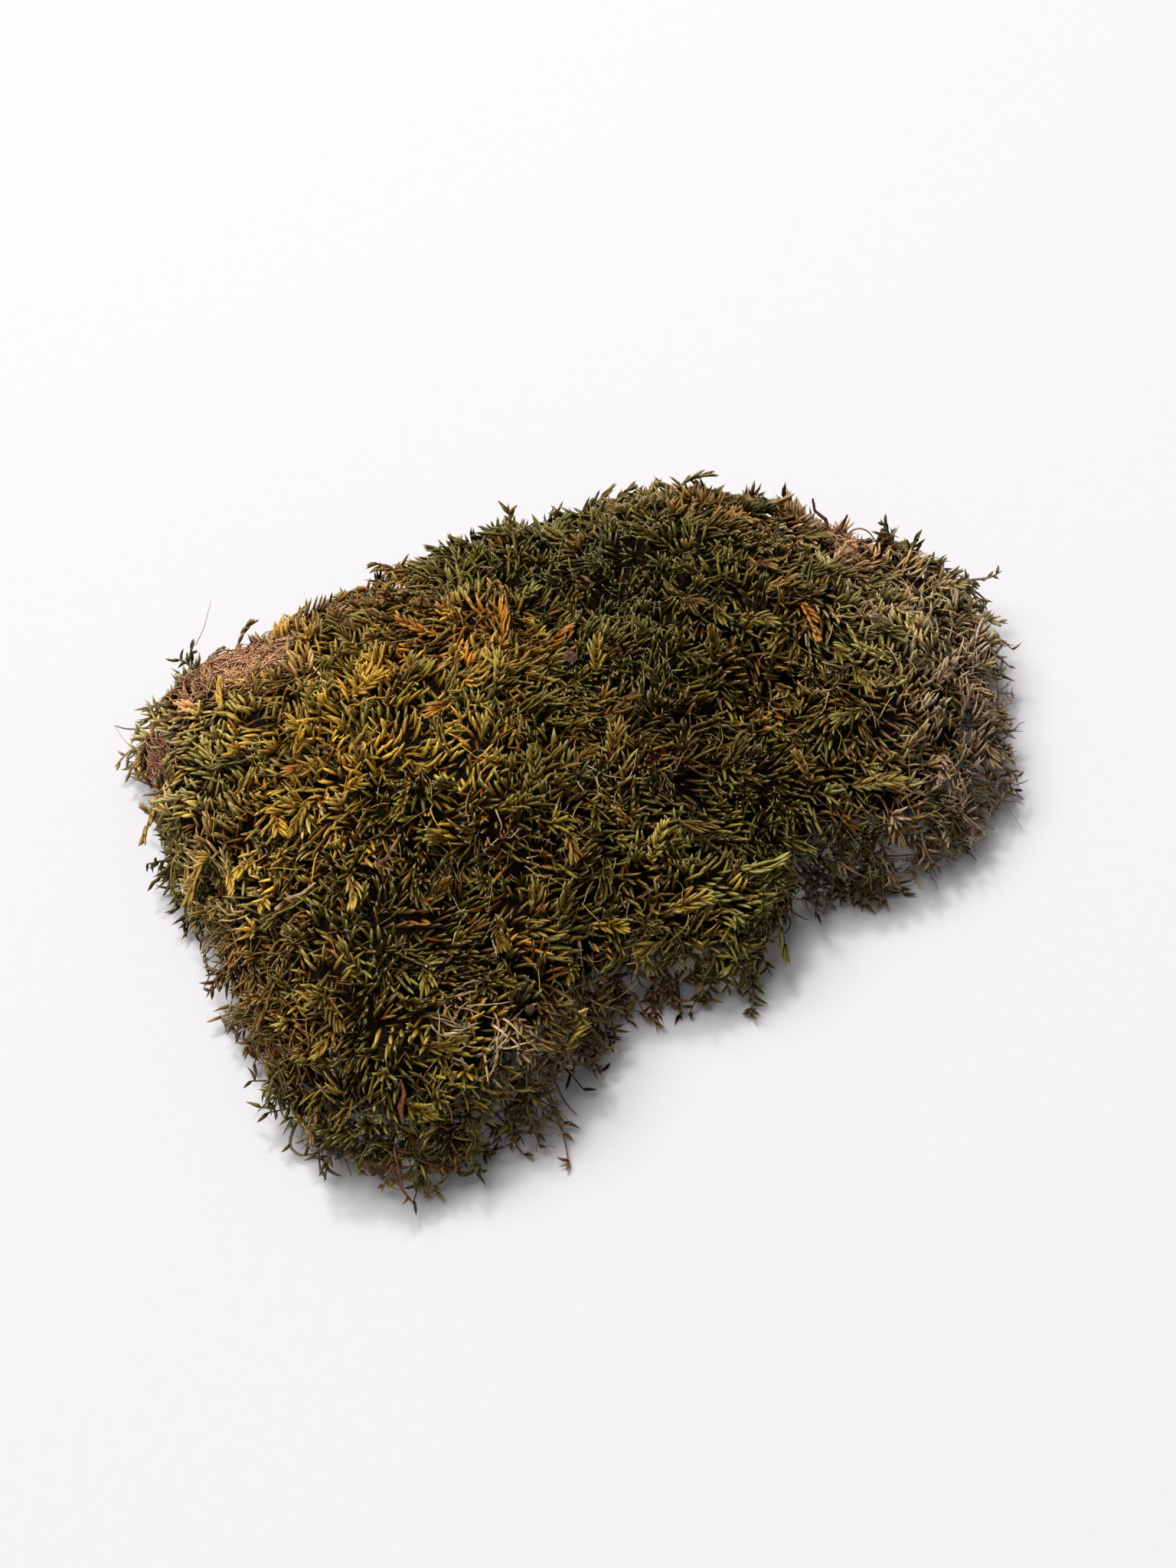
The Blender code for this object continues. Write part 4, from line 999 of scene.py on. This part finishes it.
# Each: where it is rooted in millimetres, the way it points, and its length.
LACES = [
    ("right edge high", (97, 33, 7), (1.0, 0.1, 0.25), 8),
    ("right edge", (96, 24, 6), (1.0, -0.3, 0.1), 8),
    ("right low edge high", (93, 14, 6), (1.0, -0.4, 0.2), 9),
    ("right low edge", (91, 8, 6), (1.0, -0.5, 0.1), 11),
    ("right low edge front", (88, 3, 6), (0.8, -0.7, 0.3), 11),
    ("right low corner", (86, -2, 5), (0.7, -0.8, 0.2), 9),
    ("lobe foot", (80, -6, 5), (0.3, -1.0, 0.1), 8),
    ("notch right", (66, -8, 5), (0.3, -1.0, 0.0), 8),
    ("notch", (57, -13, 5), (0.4, -1.0, 0.1), 8),
    ("notch left", (50, -20, 5), (0.6, -0.8, 0.1), 7),
    ("tongue right", (-4, -62, 6), (0.6, -0.8, 0.1), 9),
    ("tongue right low", (-8, -70, 5), (0.5, -0.9, 0.0), 9),
    ("tongue foot", (-27, -78, 5), (0.0, -1.0, 0.0), 7),
    ("tongue foot left", (-52, -73, 5), (-0.3, -1.0, 0.0), 7),
]


def grow_wire(start, heading, length, radius, forks, colour):
    """A wiry stem and the thinner ones that fork off it to both sides."""
    route = curled_route(start, heading, length, dice.uniform(-1.8, 1.8))
    strands.append((route, radius, colour * dice.uniform(0.7, 1.3)))
    if forks:
        for k in range(1, STRAND_STEPS - 1):
            direction = (route[k + 1] - route[k]).normalized()
            side = Matrix.Rotation(dice.uniform(-0.6, 0.6), 3, direction) @ direction.cross(Vector((0, 0, 1)))
            turned = direction * 0.7 + side.normalized() * (1 if k % 2 else -1)
            grow_wire(route[k], turned.normalized(), length * dice.uniform(0.28, 0.45), radius * 0.7,
                      forks - 1, colour)


for name, place, heading, length in LACES:
    for turn in LACE_TURNS:
        start = Vector(place) + Vector((dice.uniform(-2, 2), dice.uniform(-2, 2), dice.uniform(-1.5, 1.5)))
        turned = Matrix.Rotation(turn + dice.uniform(-0.2, 0.2), 3, "Z") @ Vector(heading).normalized()
        grow_wire(start, turned, length * dice.uniform(0.7, 1.1), LACE_RADIUS, 1, LACE_COLOUR)


# The cut side underneath: old stems and root hairs that lie flat and cross each other, where the clump was
# lifted off what it grew on.
FLAT_STEMS = 900
FLAT_HEIGHT = (0.3, 0.9)
FLAT_STEP = (1.0, 2.6)
FLAT_RADII = [0.12, 0.16, 0.25, 0.36]
FLAT_COLOURS = ["brown", "black", "rust", "grey"]
FLAT_MARGIN = 2.0        # how far past the rim a stem may run before it is turned back
flat_stems = []
under = [face for face in growth_faces if face[0].z < 3.0 and face[1].z < -0.7]
for face in dice.choices(under, [face[2] for face in under], k=FLAT_STEMS):
    turn = dice.uniform(0, 2 * math.pi)
    height = dice.uniform(*FLAT_HEIGHT)
    place = Vector((face[0].x, face[0].y, height))
    heading = Vector((math.cos(turn), math.sin(turn), 0))
    curl = dice.uniform(-0.25, 0.25)
    route = [place]
    for _ in range(STRAND_STEPS - 1):
        heading = Matrix.Rotation(curl + dice.gauss(0, 0.15), 3, "Z") @ heading
        place = place + heading * dice.uniform(*FLAT_STEP)
        inside = growth_surface.find_nearest(Vector((place.x, place.y, 2.0)))[0]
        if math.hypot(inside.x - place.x, inside.y - place.y) > FLAT_MARGIN:
            place = Vector((inside.x, inside.y, height)) + heading * dice.uniform(0.0, 1.0)
        route.append(place)
    colour = COLOURS[dice.choice(FLAT_COLOURS)]
    flat_stems.append((route, dice.choice(FLAT_RADII), colour * dice.uniform(0.5, 1.1)))


# Dry stems: dull dead plant tissue, finely uneven, and paler in spots under a millimetre where the skin has
# worn.
material, tree, shader = new_material("dry moss stems", Roughness=0.65, Specular_IOR_Level=0.3)
where = add_node(tree, "ShaderNodeTexCoord")
tint = add_node(tree, "ShaderNodeAttribute", settings={"attribute_name": "tint"})
wear = add_node(tree, "ShaderNodeTexNoise", links={"Vector": where.outputs["Object"]},
                values={"Scale": 1 / (0.7 * MM), "Detail": 3.0, "Distortion": 0.5})
worn = add_node(tree, "ShaderNodeValToRGB", links={"Fac": wear.outputs["Fac"]},
                stops=[(0.32, (0.7, 0.66, 0.62, 1)), (0.7, (1.4, 1.34, 1.26, 1))])
skin = add_node(tree, "ShaderNodeMix", settings={"data_type": "RGBA", "blend_type": "MULTIPLY"},
                values={0: 1.0}, links={6: tint.outputs["Color"], 7: worn.outputs["Color"]})
tree.links.new(skin.outputs[2], shader.inputs["Base Color"])
relief = add_node(tree, "ShaderNodeBump", values={"Strength": 0.5, "Distance": 0.08 * MM},
                  links={"Height": wear.outputs["Fac"]})
tree.links.new(relief.outputs["Normal"], shader.inputs["Normal"])

for name, rows, sides in [("sprig_stems", stems, 3), ("loose_stems", strays, 5), ("dry_strands", strands, 3),
                          ("cut_stems_underneath", flat_stems, 3)]:
    piece = build_piece(name, [strand_block(rows, sides)])
    piece.data.materials.append(material)
    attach(piece, "root")
    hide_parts("moss_cushion")


# Litter caught in the moss: a peeled twig, rootlets, a flake of bark, a needle, a scrap of a leaf and a
# crumb of soil. Each has weathered in the open, so its fibres stand out in fine ridges.
LITTER_VOXEL = 0.2
FIBRE_FINER = 2.7
# Each: its node, its slot, dark and light colour, how far apart the fibres lie, how many times longer than
# wide they are, which way they run in degrees, how high they stand, and roughness.
LITTER = [
    ("pale_twig", "twig", "#684a35", "#b5926f", 0.5, 6.0, 27, 0.10, 0.7),
    ("forked_rootlet", "rootlet", "#70492f", "#b8845e", 0.4, 5.0, 30, 0.08, 0.65),
    ("crest_root", "root", "#33211d", "#7d4b40", 0.5, 3.0, 45, 0.12, 0.6),
    ("bark_flake", "bark", "#2c1f16", "#6a4d36", 0.7, 2.5, 35, 0.16, 0.9),
    ("brown_needle", "needle", "#5b2f1c", "#a0623f", 0.35, 9.0, 78, 0.05, 0.45),
    ("leaf_scrap", "dead_leaf", "#3f2b1b", "#84603f", 0.8, 1.5, 60, 0.10, 0.7),
    ("soil_crumb", "soil", "#24150c", "#5e3c26", 0.5, 1.0, 0, 0.16, 0.95),
]

for name, slot, dark, light, apart, stretch, turn, ridge, dullness in LITTER:
    piece = link(name + "_weathered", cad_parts[name].data.copy())
    modify(piece, "WELD", merge_threshold=WELD_GAP * MM)
    modify(piece, "REMESH", mode="VOXEL", voxel_size=LITTER_VOXEL * MM)
    modify(piece, "SMOOTH", factor=0.5, iterations=2)
    unturn = Matrix.Rotation(-math.radians(turn), 3, "Z")
    for vert in piece.data.vertices:
        spot = unturn @ (vert.co / MM)
        spot.x /= stretch
        fibre = noise.noise(spot / apart) + 0.5 * noise.noise(spot / apart * FIBRE_FINER)
        vert.co += vert.normal * ridge * fibre * MM
    piece.data.update()
    piece.data.shade_smooth()
    # Weathered plant tissue, bark or soil: dull, paler along its ridges, and stained darker in spots of 2 mm.
    material, tree, shader = new_material("weathered " + slot.replace("_", " "), Roughness=dullness,
                                          Specular_IOR_Level=0.3)
    where = add_node(tree, "ShaderNodeTexCoord")
    along_fibres = add_node(tree, "ShaderNodeMapping", settings={"vector_type": "TEXTURE"},
                            values={"Rotation": (0, 0, math.radians(turn)), "Scale": (stretch, 1, 1)},
                            links={"Vector": where.outputs["Object"]})
    fibres = add_node(tree, "ShaderNodeTexNoise", values={"Scale": 1 / (0.6 * apart * MM), "Detail": 5.0},
                      links={"Vector": along_fibres.outputs["Vector"]})
    spread = add_node(tree, "ShaderNodeValToRGB", links={"Fac": fibres.outputs["Fac"]},
                      stops=[(0.34, linear(dark)), (0.66, linear(light))])
    stains = add_node(tree, "ShaderNodeTexNoise", values={"Scale": 1 / (2.2 * MM), "Detail": 2.0},
                      links={"Vector": where.outputs["Object"]})
    stain = add_node(tree, "ShaderNodeMapRange", links={"Value": stains.outputs["Fac"]},
                     values={"From Min": 0.4, "From Max": 0.7, "To Min": 0.0, "To Max": 0.6})
    stained = add_node(tree, "ShaderNodeMix", settings={"data_type": "RGBA"}, values={7: linear(dark)},
                       links={0: stain.outputs[0], 6: spread.outputs["Color"]})
    tree.links.new(stained.outputs[2], shader.inputs["Base Color"])
    relief = add_node(tree, "ShaderNodeBump", values={"Strength": 0.6, "Distance": 0.1 * MM},
                      links={"Height": fibres.outputs["Fac"]})
    tree.links.new(relief.outputs["Normal"], shader.inputs["Normal"])
    piece.data.materials.clear()
    piece.data.materials.append(material)
    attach(piece, "root")
    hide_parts(name)


# Floor, light and camera: a plain pale sheet, soft light from all round, a broad lamp above the left and a
# small one behind it that makes the leaves glint, and the camera as it was taken to stand for the photograph.
CAMERA_AIM = Vector((4.6, 6.25, 12.0)) * MM
CAMERA_DISTANCE = 0.53
CAMERA_ELEVATION = math.radians(55)
AMBIENT = 0.33
BACKDROP = 0.76          # how light the studio looks beyond the floor
KEY_SPREAD = math.radians(46)
KEY_STRENGTH = 4.15
KEY_DIRECTION = Vector((0.42, -0.20, -0.88))
GLINT_PLACE = (-0.34, 0.62, 1.3)
GLINT_SIZE = 0.2
GLINT_WATTS = 11.0
FLOOR_SIZE = 60
LENS = 55

bpy.ops.object.select_all(action="DESELECT")
bpy.ops.mesh.primitive_plane_add(size=FLOOR_SIZE, location=(0, 0, 0))
floor = bpy.context.object
floor.name = "floor"

# Uncoated paper: matt, with a faint grain of a few millimetres.
material, tree, shader = new_material("pale paper", Roughness=0.9, Specular_IOR_Level=0.1)
where = add_node(tree, "ShaderNodeTexCoord")
grain = add_node(tree, "ShaderNodeTexNoise", values={"Scale": 300.0, "Detail": 2.0},
                 links={"Vector": where.outputs["Object"]})
paper = add_node(tree, "ShaderNodeMix", settings={"data_type": "RGBA"},
                 values={6: linear("#b8b6b8"), 7: linear("#bbb9bb")}, links={0: grain.outputs["Fac"]})
tree.links.new(paper.outputs[2], shader.inputs["Base Color"])
floor.data.materials.append(material)

world = bpy.data.worlds.new("studio")
world.use_nodes = True
tree = world.node_tree
ray = add_node(tree, "ShaderNodeLightPath")
strength = add_node(tree, "ShaderNodeMapRange", values={"To Min": AMBIENT, "To Max": BACKDROP},
                    links={"Value": ray.outputs["Is Camera Ray"]})
tree.links.new(strength.outputs[0], tree.nodes["Background"].inputs["Strength"])
tree.nodes["Background"].inputs["Color"].default_value = (1.0, 1.0, 1.0, 1)
bpy.context.scene.world = world

key = bpy.data.lights.new("key", "SUN")
key.angle = KEY_SPREAD
key.energy = KEY_STRENGTH
key_light = bpy.data.objects.new("key", key)
key_light.rotation_euler = KEY_DIRECTION.to_track_quat("-Z", "Y").to_euler()
bpy.context.scene.collection.objects.link(key_light)

glint = bpy.data.lights.new("glint", "AREA")
glint.shape = "SQUARE"
glint.size = GLINT_SIZE
glint.energy = GLINT_WATTS
glint_light = bpy.data.objects.new("glint", glint)
glint_light.location = GLINT_PLACE
glint_light.rotation_euler = (CAMERA_AIM - glint_light.location).to_track_quat("-Z", "Y").to_euler()
bpy.context.scene.collection.objects.link(glint_light)

camera_data = bpy.data.cameras.new("camera")
camera_data.lens = LENS
camera = bpy.data.objects.new("camera", camera_data)
back = Vector((0, -math.cos(CAMERA_ELEVATION), math.sin(CAMERA_ELEVATION)))
camera.location = CAMERA_AIM + back * CAMERA_DISTANCE
camera.rotation_euler = (math.pi / 2 - CAMERA_ELEVATION, 0, 0)
bpy.context.scene.collection.objects.link(camera)
bpy.context.scene.camera = camera
bpy.context.scene.view_settings.view_transform = "Standard"
